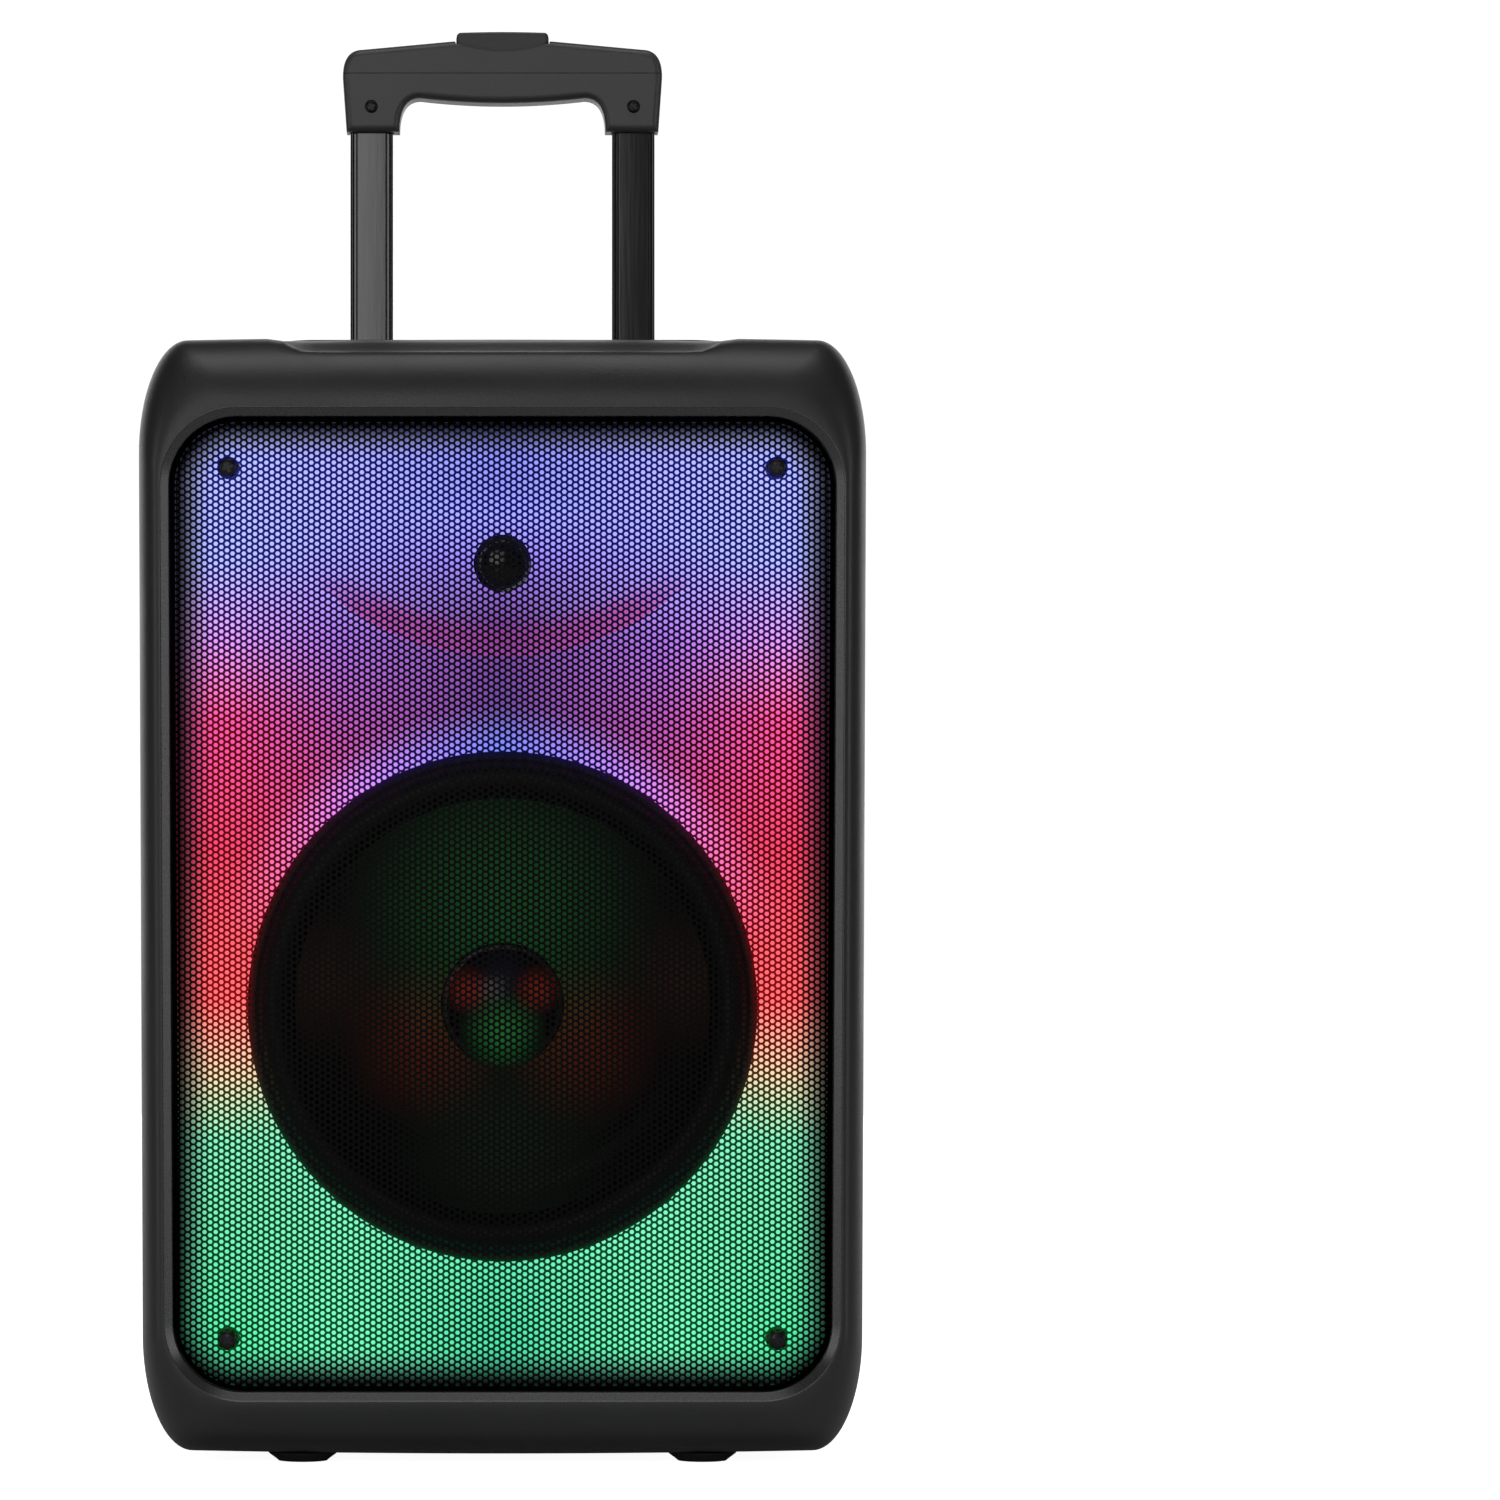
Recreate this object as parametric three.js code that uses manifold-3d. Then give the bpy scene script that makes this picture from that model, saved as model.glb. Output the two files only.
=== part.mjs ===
// A trolley party speaker: a tall moulded cabinet whose lit grille covers a woofer and a horn tweeter,
// with controls in its top, a pull handle of two stages and two wheels at its back.
// Millimetres, +Z up. The grille faces -Y, and the origin is on the floor under the cabinet's middle.
import * as THREE from "three";
import { mergeVertices } from "three/addons/utils/BufferGeometryUtils.js";
import Module from "manifold-3d";

const wasm = await Module();
wasm.setup();

const gap = 0.3; // between pieces that touch
const slip = 0.4; // between pieces that slide or turn in each other
const past = 1; // how far a cutter runs beyond a face, or a joined solid into its neighbour
const clear = 20; // how far a cutter that is open at one end runs on

// ---- Driving dimensions ----

const cabinet = {
  width: 338.5, // at the top
  taper: 4.5, // how much narrower the base is
  height: 519,
  depth: 286.7, // the shells alone, without what stands out behind
  lift: 4, // floor to the underside, which stands on feet
  wall: 3.5,
  cornerWide: 23,
  cornerTall: 53,
  crown: 1.5, // how far the top and the underside bulge
  faceRoll: 30, // depth in which the face curves round into the sides
  backRoll: 18,
  backInset: 14,
  seamDepth: 85, // front plane to the seam between the two shells
};
const opening = {
  side: 14.9, // cabinet side to the opening's edge
  forehead: 37.8, // cabinet top to the opening
  chin: 30.4, // underside to the opening
  corner: 32,
  band: 4.4, // width of the bevel round the opening
  bandDrop: 3,
};
const scoop = { floorWidth: 182, topWidth: 214, drop: 7.5, start: 26, end: 54 };
const grille = { recess: 4.5, sheet: 1.2, roll: 8, hem: 6 };
const grilleScrew = {
  inFromSide: 27.4,
  belowOpening: 23.5,
  aboveOpening: 24.1,
  headRadius: 4,
  headTall: 1.6,
  shank: 2,
  post: 5,
};
const baffle = { front: 33, thick: 10, overlap: 8 };
const diffuser = { front: 18.5, thick: 2.5, overlap: 2 };
const ledStrip = { width: 8, board: 1.4, led: 4, ledTall: 1, count: 12, inFromEdge: 10, endInset: 28 };
const woofer = {
  height: 208, // centre above the underside
  radius: 118, // outside of the surround
  flange: 12,
  flangeThick: 4.5,
  lip: 3, // flat edge of the surround
  rollWidth: 18,
  rollTall: 8,
  roll: 1.2,
  coneDeep: 35,
  coneBow: 3,
  cone: 1.2,
  capRadius: 29,
  capTall: 11,
  capLift: 4, // rim of the cap above the cone it is glued to
  coilRadius: 19.5,
  coil: 1.2,
  coilRoom: 1,
  coilReach: 14, // into the magnet
};
const basket = {
  holeInset: 2, // the baffle's hole inside the surround's outside
  inset: 5,
  wall: 4,
  floor: 2,
  deep: 58,
  seatRadius: 52,
  windows: 6,
  windowHalfWide: 16,
  windowFront: 5, // behind the baffle
  windowBack: 12, // before the seat
  windowInner: 10, // outside the seat
};
const magnet = { radius: 60, thick: 32, backPlate: 8 };
const spider = { beforeSeat: 12, thick: 1, ridge: 1.6, folds: 4 };
const horn = { belowOpening: 67.4, halfWide: 94, halfTall: 43, deep: 20, throat: 13.5, wall: 2 };
const tweeter = { domeRadius: 10.8, domeTall: 4, sink: 2, flange: 10, flangeBehind: 8, length: 24 };
const port = {
  height: 300,
  bore: 28,
  wall: 2.5,
  flange: 9,
  flangeThick: 3,
  flangeDraft: 2,
  flareWide: 3,
  flareDeep: 4,
  length: 108,
};
const tray = { width: 192, front: 60, length: 135, deep: 14, wall: 2.5, corner: 10 };
// inTray: how far a control's middle is behind the tray's front edge.
const knobs = [
  { name: "volume_knob", x: 0, inTray: 58, radius: 20, tall: 10 },
  { name: "mic_knob", x: -44, inTray: 73, radius: 9, tall: 9 },
  { name: "echo_knob", x: 44, inTray: 73, radius: 9, tall: 9 },
];
const knobShaft = { radius: 3, below: 3 };
const knobSkirt = { tall: 2, wide: 1 };
const knobMark = { long: 4, halfWide: 0.8, inFromEdge: 3, proud: 0.5 };
const keys = {
  names: ["mode_key", "back_key", "play_key", "next_key", "light_key"],
  wide: 18,
  long: 9,
  pitch: 27,
  inTray: 21,
  proud: 2.2,
  stem: 5.5,
  corner: 2,
  flange: 1,
};
const display = { wide: 60, long: 26, thick: 1.6, corner: 2, inTray: 112 };
const jack = { x: -78, inTray: 87, bore: 3.3, nut: 7, nutTall: 2, barrel: 5.8, deep: 30, floor: 1.5 };
const usb = { x: 78, inTray: 87, slotWide: 13, slotTall: 5.6, wall: 1.2, deep: 15 };
const controlBoard = { width: 116, length: 124, thick: 1.6, below: 7 };
const chipTall = 2.5;
// Places of the chips from the board's middle.
const chips = [
  { x: -30, y: 20, size: 14 },
  { x: 8, y: 26, size: 18 },
  { x: 30, y: -10, size: 10 },
  { x: -14, y: -24, size: 12 },
];
const well = { width: 172, length: 58.2, rim: 22.5, wall: 2.5, deep: 56, corner: 12 };
const tube = { spacing: 128, wide: 21, thick: 13, wall: 1.2, fromBack: 39.5, corner: 3.5 };
const innerTube = { length: 379 };
const middleTube = { wall: 1.3, bottom: 64, collar: 3, collarTall: 7 }; // bottoms are above the underside
const guide = { wall: 1.5, bottom: 54, flange: 4, flangeTall: 3.5 };
const grip = {
  rise: 110, // cabinet top to the grip's legs
  width: 156,
  legWidth: 152.4,
  thick: 30,
  underside: 14, // from here, heights above the legs' ends
  undersideEdge: 16.4,
  parting: 28.4,
  shoulder: 40.2,
  top: 44.2,
  shoulderWide: 10,
  sideBulge: 0.4,
  openWidth: 100.5,
  openRound: 10,
  socket: 16,
  round: 3,
};
const releaseButton = {
  width: 45.2,
  top: 49, // heights above the legs' ends
  crown: 0.4,
  corner: 4,
  lipSide: 43.2,
  lipMiddle: 39,
  lip: 3,
  bottom: 27,
  travel: 4,
  round: 1.5,
  room: 2, // flat of the grip on each side of the button
};
const releaseBar = { thick: 6, tall: 4, rod: 2, rodLength: 357 };
const gripScrew = { height: 12.2, head: 3, headProud: 0.2, sink: 1.4, shank: 1.5 };
const wheel = { radius: 32, width: 22, x: 129, shoulder: 4, bead: 1, room: 4, sideRoom: 3 };
const hub = { radius: 21, web: 6, boss: 4, rim: 4 };
const axleRadius = 4;
const foot = { spacing: 186, topRadius: 16, bottomRadius: 11.3, fromFront: 40 };
const rearPanel = { width: 130, height: 90, middle: 150, corner: 6 };
const inlet = { x: -24, wide: 27, tall: 20, deep: 19, wall: 2 };
const pins = { wide: 2, tall: 4, long: 8, pitch: 6, below: 2, earthAbove: 3 };
// The rocker's two faces meet in a valley, and its lower end stands out.
const rocker = { x: 24, wide: 14, tall: 22, deep: 12, proud: 2.2, valley: 0.8, pressedEnd: 0.2, draft: 0.5 };
const battery = { width: 150, depth: 80, height: 62, fromFront: 165, corner: 5, above: 1 };
const amplifier = { width: 88, height: 96, middle: 148, fromBack: 45.7, board: 1.6 };
const heatSink = { width: 60, base: 6, deep: 26, tall: 24, fins: 5, finPitch: 12, fin: 3 };
const capacitors = { radius: 8, long: 30, pitch: 20, aboveEdge: 18 };
const supply = { width: 80, height: 58, middle: 234, fromBack: 45.7, board: 1.6 };
const transformer = { width: 34, deep: 30, edge: 12, fromMiddle: 34 };
const bulkCapacitor = { radius: 11, long: 34, x: 20 };

// ---- Places that follow from them ----

const baseWidth = cabinet.width - cabinet.taper;
const proud = port.flangeThick + gap; // how far the port's flange and the wheels stand out behind
const front = -(cabinet.depth + proud) / 2;
const back = front + cabinet.depth;
const base = cabinet.lift;
const top = base + cabinet.height;
const seam = front + cabinet.seamDepth;
const openingTop = top - opening.forehead;
const openingBase = base + opening.chin;
const openingHalf = cabinet.width / 2 - opening.side;
const grilleFront = front + grille.recess;
const baffleFront = front + baffle.front;
const diffuserFront = front + diffuser.front;
const diffuserBack = diffuserFront + diffuser.thick;
const wooferZ = base + woofer.height;
const hornZ = openingTop - horn.belowOpening;
const coneRadius = woofer.radius - woofer.lip - woofer.rollWidth;
const coneFront = baffleFront - woofer.flangeThick - gap;
const seatY = baffleFront + basket.deep;
const trayFront = front + tray.front;
const trayBack = trayFront + tray.length;
const trayFloor = top - tray.deep;
const keysY = trayFront + keys.inTray;
const jackY = trayFront + jack.inTray;
const usbY = trayFront + usb.inTray;
const wellBack = back - well.rim;
const wellFront = wellBack - well.length;
const wellFloor = top - well.deep;
const tubeX = tube.spacing / 2;
const tubeY = back - tube.fromBack;
const wheelY = back + proud - wheel.radius;
const axleReach = wheel.x + wheel.width / 2 + wheel.room + cabinet.wall;
const panelZ = base + rearPanel.middle;

// ---- Finishes ----

function finish(colour, roughness, metalness = 0) {
  return new THREE.MeshStandardMaterial({ color: colour, roughness, metalness });
}
const shellPlastic = finish(0x1d1d1f, 0.55);
const panelPlastic = finish(0x141416, 0.4);
const glossPlastic = finish(0x0b0b0d, 0.15);
const keyPlastic = finish(0x2a2a2e, 0.45);
const meshSteel = finish(0x101012, 0.4, 0.6);
const screwSteel = finish(0x17181a, 0.35, 0.8);
const brightSteel = finish(0xb9bcc0, 0.3, 1);
const tubeSteel = finish(0x1a1b1d, 0.2, 0.7);
const milkyPlastic = finish(0x8d4bd0, 0.5);
const fibreboard = finish(0x2b2622, 0.8);
const rubber = finish(0x161616, 0.85);
const conePolymer = finish(0x0c0e0c, 0.2);
const magnetFerrite = finish(0x3a3b3d, 0.6, 0.3);
const spiderCloth = finish(0xb08a3c, 0.9);
const copper = finish(0xb4693a, 0.4, 1);
const circuitBoard = finish(0x1c5a34, 0.5);
const shrinkWrap = finish(0x1f4f9c, 0.45);
const smokedWindow = finish(0x08090c, 0.1);

// ---- Solids ----

// Turns a closed three.js geometry into a solid, dropping the faces that a lathe leaves flat on its axis.
function solidFrom(geometry) {
  const bare = new THREE.BufferGeometry();
  bare.setAttribute("position", geometry.getAttribute("position").clone());
  bare.setIndex(geometry.index);
  const merged = mergeVertices(bare, 1e-4);
  const index = merged.index ? merged.index.array : [...merged.attributes.position.array.keys()];
  const faces = [];
  for (let i = 0; i < index.length; i += 3) {
    const [a, b, c] = [index[i], index[i + 1], index[i + 2]];
    if (a !== b && b !== c && c !== a) faces.push(a, b, c);
  }
  const vertProperties = new Float32Array(merged.attributes.position.array);
  const build = (list) =>
    new wasm.Manifold(new wasm.Mesh({ numProp: 3, vertProperties, triVerts: new Uint32Array(list) }));
  const solid = build(faces);
  return solid.volume() > 0 ? solid : build(faces.reverse());
}

function geometryFrom(solid) {
  const mesh = solid.getMesh();
  const geometry = new THREE.BufferGeometry();
  geometry.setAttribute("position", new THREE.BufferAttribute(new Float32Array(mesh.vertProperties), 3));
  geometry.setIndex(new THREE.BufferAttribute(new Uint32Array(mesh.triVerts), 1));
  return geometry;
}

const joined = (first, ...rest) => rest.reduce((whole, next) => whole.add(next), first);
const cutBy = (first, ...rest) => rest.reduce((whole, next) => whole.subtract(next), first);

// A box from its lowest to its highest corner.
function block([x0, y0, z0], [x1, y1, z1]) {
  const geometry = new THREE.BoxGeometry(x1 - x0, y1 - y0, z1 - z0);
  return solidFrom(geometry.translate((x0 + x1) / 2, (y0 + y1) / 2, (z0 + z1) / 2));
}

// A round bar along X, Y or Z, from one place on that axis to another.
function bar(axis, radius, from, to, x, y, z, sides = 16, endRadius = radius) {
  const geometry = new THREE.CylinderGeometry(endRadius, radius, to - from, sides);
  geometry.translate(0, (from + to) / 2, 0);
  if (axis === "x") geometry.rotateZ(-Math.PI / 2);
  if (axis === "z") geometry.rotateX(Math.PI / 2);
  return solidFrom(geometry.translate(x, y, z));
}

// A turned piece about a line along Y, from [radius, y] pairs.
function turned(profile, x, z, sides = 32) {
  const points = profile.map(([radius, y]) => new THREE.Vector2(radius, y));
  const closed = profile[0][0] > 0 ? [...points, points[0].clone()] : points;
  return solidFrom(new THREE.LatheGeometry(closed, sides).translate(x, 0, z));
}

// A rectangle with round corners, about a middle.
function roundRectangle(width, height, radius, x = 0, y = 0) {
  const shape = new THREE.Shape();
  const corners = [
    [x + width / 2 - radius, y + height / 2 - radius, 0],
    [x - width / 2 + radius, y + height / 2 - radius, Math.PI / 2],
    [x - width / 2 + radius, y - height / 2 + radius, Math.PI],
    [x + width / 2 - radius, y - height / 2 + radius, Math.PI * 1.5],
  ];
  for (const [cx, cy, start] of corners) shape.absarc(cx, cy, radius, start, start + Math.PI / 2, false);
  return shape;
}

// A shape seen from above, raised from one height to another.
function raised(shape, from, to, curveSegments = 2) {
  const geometry = new THREE.ExtrudeGeometry(shape, { depth: to - from, bevelEnabled: false, curveSegments });
  return solidFrom(geometry.translate(0, 0, from));
}

// A shape seen from the front, carried back from one depth to another, with its two rims rounded.
function carried(shape, from, to, round = 0, curveSegments = 3) {
  const geometry = new THREE.ExtrudeGeometry(shape, {
    depth: to - from - 2 * round,
    bevelEnabled: round > 0,
    bevelThickness: round,
    bevelSize: round,
    bevelOffset: -round,
    bevelSegments: 2,
    curveSegments,
  });
  return solidFrom(geometry.rotateX(Math.PI / 2).translate(0, to - round, 0));
}

// A skin through rings of points that lie across the depth, closed by a flat face at each end.
function loft(rings) {
  const count = rings[0].points.length;
  const positions = rings.flatMap(({ y, points }) => points.flatMap((p) => [p.x, y, p.y]));
  const faces = [];
  for (let r = 0; r < rings.length - 1; r++) {
    const [near, far] = [r * count, (r + 1) * count];
    for (let i = 0; i < count; i++) {
      const next = (i + 1) % count;
      faces.push(near + i, near + next, far + next, near + i, far + next, far + i);
    }
  }
  const last = (rings.length - 1) * count;
  for (const [a, b, c] of THREE.ShapeUtils.triangulateShape(rings[0].points, [])) faces.push(c, b, a);
  for (const [a, b, c] of THREE.ShapeUtils.triangulateShape(rings.at(-1).points, [])) {
    faces.push(last + a, last + b, last + c);
  }
  const geometry = new THREE.BufferGeometry();
  geometry.setAttribute("position", new THREE.Float32BufferAttribute(positions, 3));
  geometry.setIndex(faces);
  return solidFrom(geometry);
}

const arcSteps = 5;
const edgeSteps = 4;

// A front-view outline whose sides lean and whose corners are quarter ellipses.
function outline({ halfTop, halfBase, low, high, wide, tall, crown = 0 }) {
  const points = [];
  const half = (z) => halfBase + ((halfTop - halfBase) * (z - low)) / (high - low);
  const corner = (side, centre, startAngle) => {
    for (let i = 0; i <= arcSteps; i++) {
      const angle = startAngle + (i / arcSteps) * (Math.PI / 2);
      const z = centre + tall * Math.sin(angle);
      points.push(new THREE.Vector2(side * (half(z) - wide) + wide * Math.cos(angle), z));
    }
  };
  const edge = (side, level, bulge) => {
    const end = half(level) - wide;
    for (let i = 1; i < edgeSteps; i++) {
      const along = side * (1 - (2 * i) / edgeSteps);
      points.push(new THREE.Vector2(along * end, level + bulge * (1 - along * along)));
    }
  };
  corner(1, high - crown - tall, 0);
  edge(1, high - crown, crown);
  corner(-1, high - crown - tall, Math.PI / 2);
  corner(-1, low + crown + tall, Math.PI);
  edge(-1, low + crown, -crown);
  corner(1, low + crown + tall, Math.PI * 1.5);
  return points;
}

// The cabinet's outline from the front, drawn in by an inset.
function cabinetOutline(inset = 0) {
  return outline({
    halfTop: cabinet.width / 2 - inset,
    halfBase: baseWidth / 2 - inset,
    low: base + inset,
    high: top - inset,
    wide: cabinet.cornerWide - inset,
    tall: cabinet.cornerTall - inset,
    crown: cabinet.crown,
  });
}

// The face opening's outline, let out by an outset.
function openingOutline(outset = 0) {
  return outline({
    halfTop: openingHalf + outset,
    halfBase: baseWidth / 2 - opening.side + outset,
    low: openingBase - outset,
    high: openingTop + outset,
    wide: opening.corner + outset,
    tall: opening.corner + outset,
  });
}

const between = (a, b, share) => a.map((point, i) => point.clone().lerp(b[i], share));
const quarter = [0, 1, 2, 3, 4].map((i) => (i / 4) * (Math.PI / 2)); // steps of a quarter turn

// Rings that curve from a flat face round into the sides.
function rollBack(inner, outer, y, depth) {
  return quarter.map((t) => {
    const points = between(inner, outer, Math.sin(t));
    return { y: y + depth * (1 - Math.cos(t)), points };
  });
}

// Rings that curve from the sides round into a flat face behind.
function rollIn(outer, inner, y, depth) {
  return quarter.map((t) => {
    const points = between(outer, inner, 1 - Math.cos(t));
    return { y: y + depth * Math.sin(t), points };
  });
}

// ---- The assembly ----

const speaker = new THREE.Group();

function place(name, solid, material) {
  const mesh = new THREE.Mesh(geometryFrom(solid), material);
  mesh.name = name;
  speaker.add(mesh);
}

const sides = [-1, 1];

// ---- Cabinet ----

// The dip in the top's front edge, whose floor climbs to the level of the top.
function scoopSpace(outset = 0) {
  const [floorHalf, topHalf] = [scoop.floorWidth / 2 + outset, scoop.topWidth / 2 + outset];
  const ring = (depth, floor) => ({
    y: front + depth,
    points: [
      new THREE.Vector2(-floorHalf, floor - outset),
      new THREE.Vector2(floorHalf, floor - outset),
      new THREE.Vector2(topHalf, top - outset + past),
      new THREE.Vector2(topHalf, top + clear),
      new THREE.Vector2(-topHalf, top + clear),
      new THREE.Vector2(-topHalf, top - outset + past),
    ],
  });
  const floor = top - scoop.drop;
  return loft([ring(-past, floor), ring(scoop.start, floor), ring(scoop.end + outset, top)]);
}

// The space a wheel turns in, open below and behind.
function wheelSpace(side, outset = 0) {
  const reach = wheel.radius + wheel.room + outset;
  const halfWide = wheel.width / 2 + wheel.sideRoom + outset;
  const [left, right] = [side * wheel.x - halfWide, side * wheel.x + halfWide];
  return joined(
    bar("x", reach, left, right, 0, wheelY, wheel.radius),
    block([left, wheelY, -past], [right, back + past, wheel.radius + reach]),
    block([left, wheelY - reach, -past], [right, back + past, wheel.radius]),
  );
}

function traySpace(outset) {
  const middle = (trayFront + trayBack) / 2;
  const width = tray.width + 2 * (tray.wall + outset);
  const length = trayBack - trayFront + 2 * (tray.wall + outset);
  const shape = roundRectangle(width, length, tray.corner + outset, 0, middle);
  return raised(shape, trayFloor - clear, top + clear);
}

function wellSpace(outset) {
  const middle = (wellFront + wellBack) / 2;
  const width = well.width + 2 * (well.wall + outset);
  const length = wellBack - wellFront + 2 * (well.wall + outset);
  const shape = roundRectangle(width, length, well.corner + outset, 0, middle);
  return raised(shape, wellFloor - clear, top + clear);
}

function makeFrontShell() {
  const crest = openingOutline(opening.band);
  const outside = loft([
    ...rollBack(crest, cabinetOutline(), front, cabinet.faceRoll),
    { y: seam, points: cabinetOutline() },
  ]);
  const face = cabinet.wall + opening.bandDrop;
  const inner = cabinetOutline(cabinet.wall);
  const inside = loft([
    ...rollBack(crest, inner, front + face, cabinet.faceRoll - opening.bandDrop),
    { y: seam + past, points: inner },
  ]);
  const bevel = loft([
    { y: front - past, points: openingOutline(opening.band * (1 + past / opening.bandDrop)) },
    { y: front + opening.bandDrop, points: openingOutline() },
    { y: front + face + past, points: openingOutline() },
  ]);
  const cavity = cutBy(inside, scoopSpace(cabinet.wall));
  place("front_shell", cutBy(outside, cavity, bevel, scoopSpace(), traySpace(gap)), shellPlastic);
}

function makeRearShell() {
  const rollStart = back - cabinet.backRoll;
  const outside = loft([
    { y: seam + gap, points: cabinetOutline() },
    ...rollIn(cabinetOutline(), cabinetOutline(cabinet.backInset), rollStart, cabinet.backRoll),
  ]);
  const inner = cabinetOutline(cabinet.wall);
  const innerBack = cabinetOutline(cabinet.backInset + cabinet.wall / 2);
  const inside = loft([
    { y: seam - past, points: inner },
    ...rollIn(inner, innerBack, rollStart, cabinet.backRoll - cabinet.wall),
  ]);
  const wheelWalls = sides.map((side) => wheelSpace(side, cabinet.wall));
  const cavity = cutBy(inside, scoopSpace(cabinet.wall), ...wheelWalls);
  const panelHole = carried(
    roundRectangle(rearPanel.width + 2 * gap, rearPanel.height + 2 * gap, rearPanel.corner, 0, panelZ),
    back - clear,
    back + past,
  );
  const portRadius = port.bore + port.wall + gap;
  const holes = [
    panelHole,
    bar("y", portRadius, back - clear, back + past, 0, 0, base + port.height, 28),
    bar("x", axleRadius + gap, -axleReach - past, axleReach + past, 0, wheelY, wheel.radius),
    scoopSpace(),
    traySpace(gap),
    wellSpace(gap),
    ...sides.map((side) => wheelSpace(side)),
  ];
  place("rear_shell", cutBy(outside, cavity, ...holes), shellPlastic);
}

function makeFeet() {
  const y = front + foot.fromFront;
  const flatHalf = baseWidth / 2 - cabinet.cornerWide;
  for (const [i, name] of ["foot_left", "foot_right"].entries()) {
    const x = (sides[i] * foot.spacing) / 2;
    const under = base + cabinet.crown * (x / flatHalf) ** 2;
    place(name, bar("z", foot.bottomRadius, 0, under - gap, x, y, 0, 24, foot.topRadius), rubber);
  }
}

// ---- Light and grille ----

function screwPlaces() {
  const x = openingHalf - grilleScrew.inFromSide;
  const high = openingTop - grilleScrew.belowOpening;
  const low = openingBase + grilleScrew.aboveOpening;
  return [[-x, high], [x, high], [-x, low], [x, low]];
}

function makeGrille() {
  const hemBack = grilleFront + grille.roll + grille.hem;
  const flat = openingOutline(-gap - grille.roll);
  const pressed = (inset) => [
    ...rollBack(flat, openingOutline(-gap - inset), grilleFront + inset, grille.roll - inset),
    { y: hemBack + inset, points: openingOutline(-gap - inset) },
  ];
  const holes = screwPlaces().map(([x, z]) => bar("y", grilleScrew.shank + gap, front, 0, x, 0, z, 12));
  place("grille", cutBy(loft(pressed(0)), loft(pressed(grille.sheet)), ...holes), meshSteel);
}

function makeGrilleScrews() {
  const names = ["top_left", "top_right", "base_left", "base_right"];
  const seat = grilleFront - gap;
  screwPlaces().forEach(([x, z], i) => {
    const head = bar("y", grilleScrew.headRadius, seat - grilleScrew.headTall, seat, x, 0, z);
    const shank = bar("y", grilleScrew.shank, seat - past, baffleFront, x, 0, z, 12);
    place("grille_screw_" + names[i], joined(head, shank), screwSteel);
  });
}

// An eye-shaped outline: two arcs that meet in a point at each end, as [x, z] about the tweeter.
function eye(halfWide, halfTall) {
  const radius = (halfWide ** 2 + halfTall ** 2) / (2 * halfTall);
  const sweep = Math.asin(halfWide / radius);
  const steps = 8;
  const arc = (side) =>
    Array.from({ length: steps }, (_, i) => {
      const angle = sweep - (2 * sweep * i) / steps;
      const x = side * radius * Math.sin(angle);
      return new THREE.Vector2(x, hornZ + side * (radius * Math.cos(angle) - radius + halfTall));
    });
  return [...arc(1), ...arc(-1)];
}

// The horn's flare from its mouth back to its throat, let out by an outset and run on at both ends.
function hornFlare(outset, extra = 0) {
  const mouth = eye(horn.halfWide + outset, horn.halfTall + outset);
  const throat = mouth.map((p) => {
    const angle = Math.atan2((p.y - hornZ) / horn.halfTall, p.x / horn.halfWide);
    const radius = horn.throat + outset;
    return new THREE.Vector2(radius * Math.cos(angle), hornZ + radius * Math.sin(angle));
  });
  const rings = quarter.map((t) => ({
    y: diffuserFront + horn.deep * Math.sin(t),
    points: between(mouth, throat, 1 - Math.cos(t)),
  }));
  if (!extra) return loft(rings);
  return loft([
    { y: diffuserFront - extra, points: mouth },
    ...rings,
    { y: diffuserFront + horn.deep + extra, points: throat },
  ]);
}

function makeDiffuser() {
  const outlinePoints = openingOutline(diffuser.overlap);
  const plate = loft([
    { y: diffuserFront, points: outlinePoints },
    { y: diffuserBack, points: outlinePoints },
  ]);
  const wooferHole = bar("y", woofer.radius + slip, front, 0, 0, 0, wooferZ, 32);
  const posts = screwPlaces().map(([x, z]) => bar("y", grilleScrew.post + gap, front, 0, x, 0, z));
  place("diffuser", cutBy(plate, wooferHole, hornFlare(horn.wall + gap, past), ...posts), milkyPlastic);
}

function makeHorn() {
  place("tweeter_horn", cutBy(hornFlare(horn.wall), hornFlare(0, past)), milkyPlastic);
}

function makeTweeter() {
  const start = diffuserFront + horn.deep + gap;
  const [shoulder, end] = [start + tweeter.flangeBehind, start + tweeter.length];
  const rim = horn.throat + horn.wall;
  const domeBase = start + tweeter.sink;
  const dome = quarter.map((t) => [
    tweeter.domeRadius * Math.cos(t),
    domeBase - tweeter.domeTall * Math.sin(t),
  ]);
  const profile = [
    [0, end],
    [rim + tweeter.flange, end],
    [rim + tweeter.flange, shoulder],
    [rim, shoulder],
    [rim, start],
    [horn.throat, start],
    [horn.throat, domeBase],
    ...dome,
  ];
  place("tweeter_driver", turned(profile, 0, hornZ, 20), glossPlastic);
}

function makeLedStrips() {
  const [low, high] = [openingBase + ledStrip.endInset, openingTop - ledStrip.endInset];
  const pitch = (high - low) / ledStrip.count;
  const face = diffuserBack + gap + ledStrip.ledTall;
  const [halfBoard, halfLed] = [ledStrip.width / 2, ledStrip.led / 2];
  for (const [i, name] of ["led_strip_left", "led_strip_right"].entries()) {
    const x = sides[i] * (openingHalf - ledStrip.inFromEdge);
    const board = block([x - halfBoard, face, low], [x + halfBoard, face + ledStrip.board, high]);
    const leds = Array.from({ length: ledStrip.count }, (_, n) => {
      const z = low + (n + 0.5) * pitch;
      return block(
        [x - halfLed, face - ledStrip.ledTall, z - halfLed],
        [x + halfLed, face + ledStrip.board / 2, z + halfLed],
      );
    });
    place(name, joined(board, ...leds), circuitBoard);
  }
}

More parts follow.
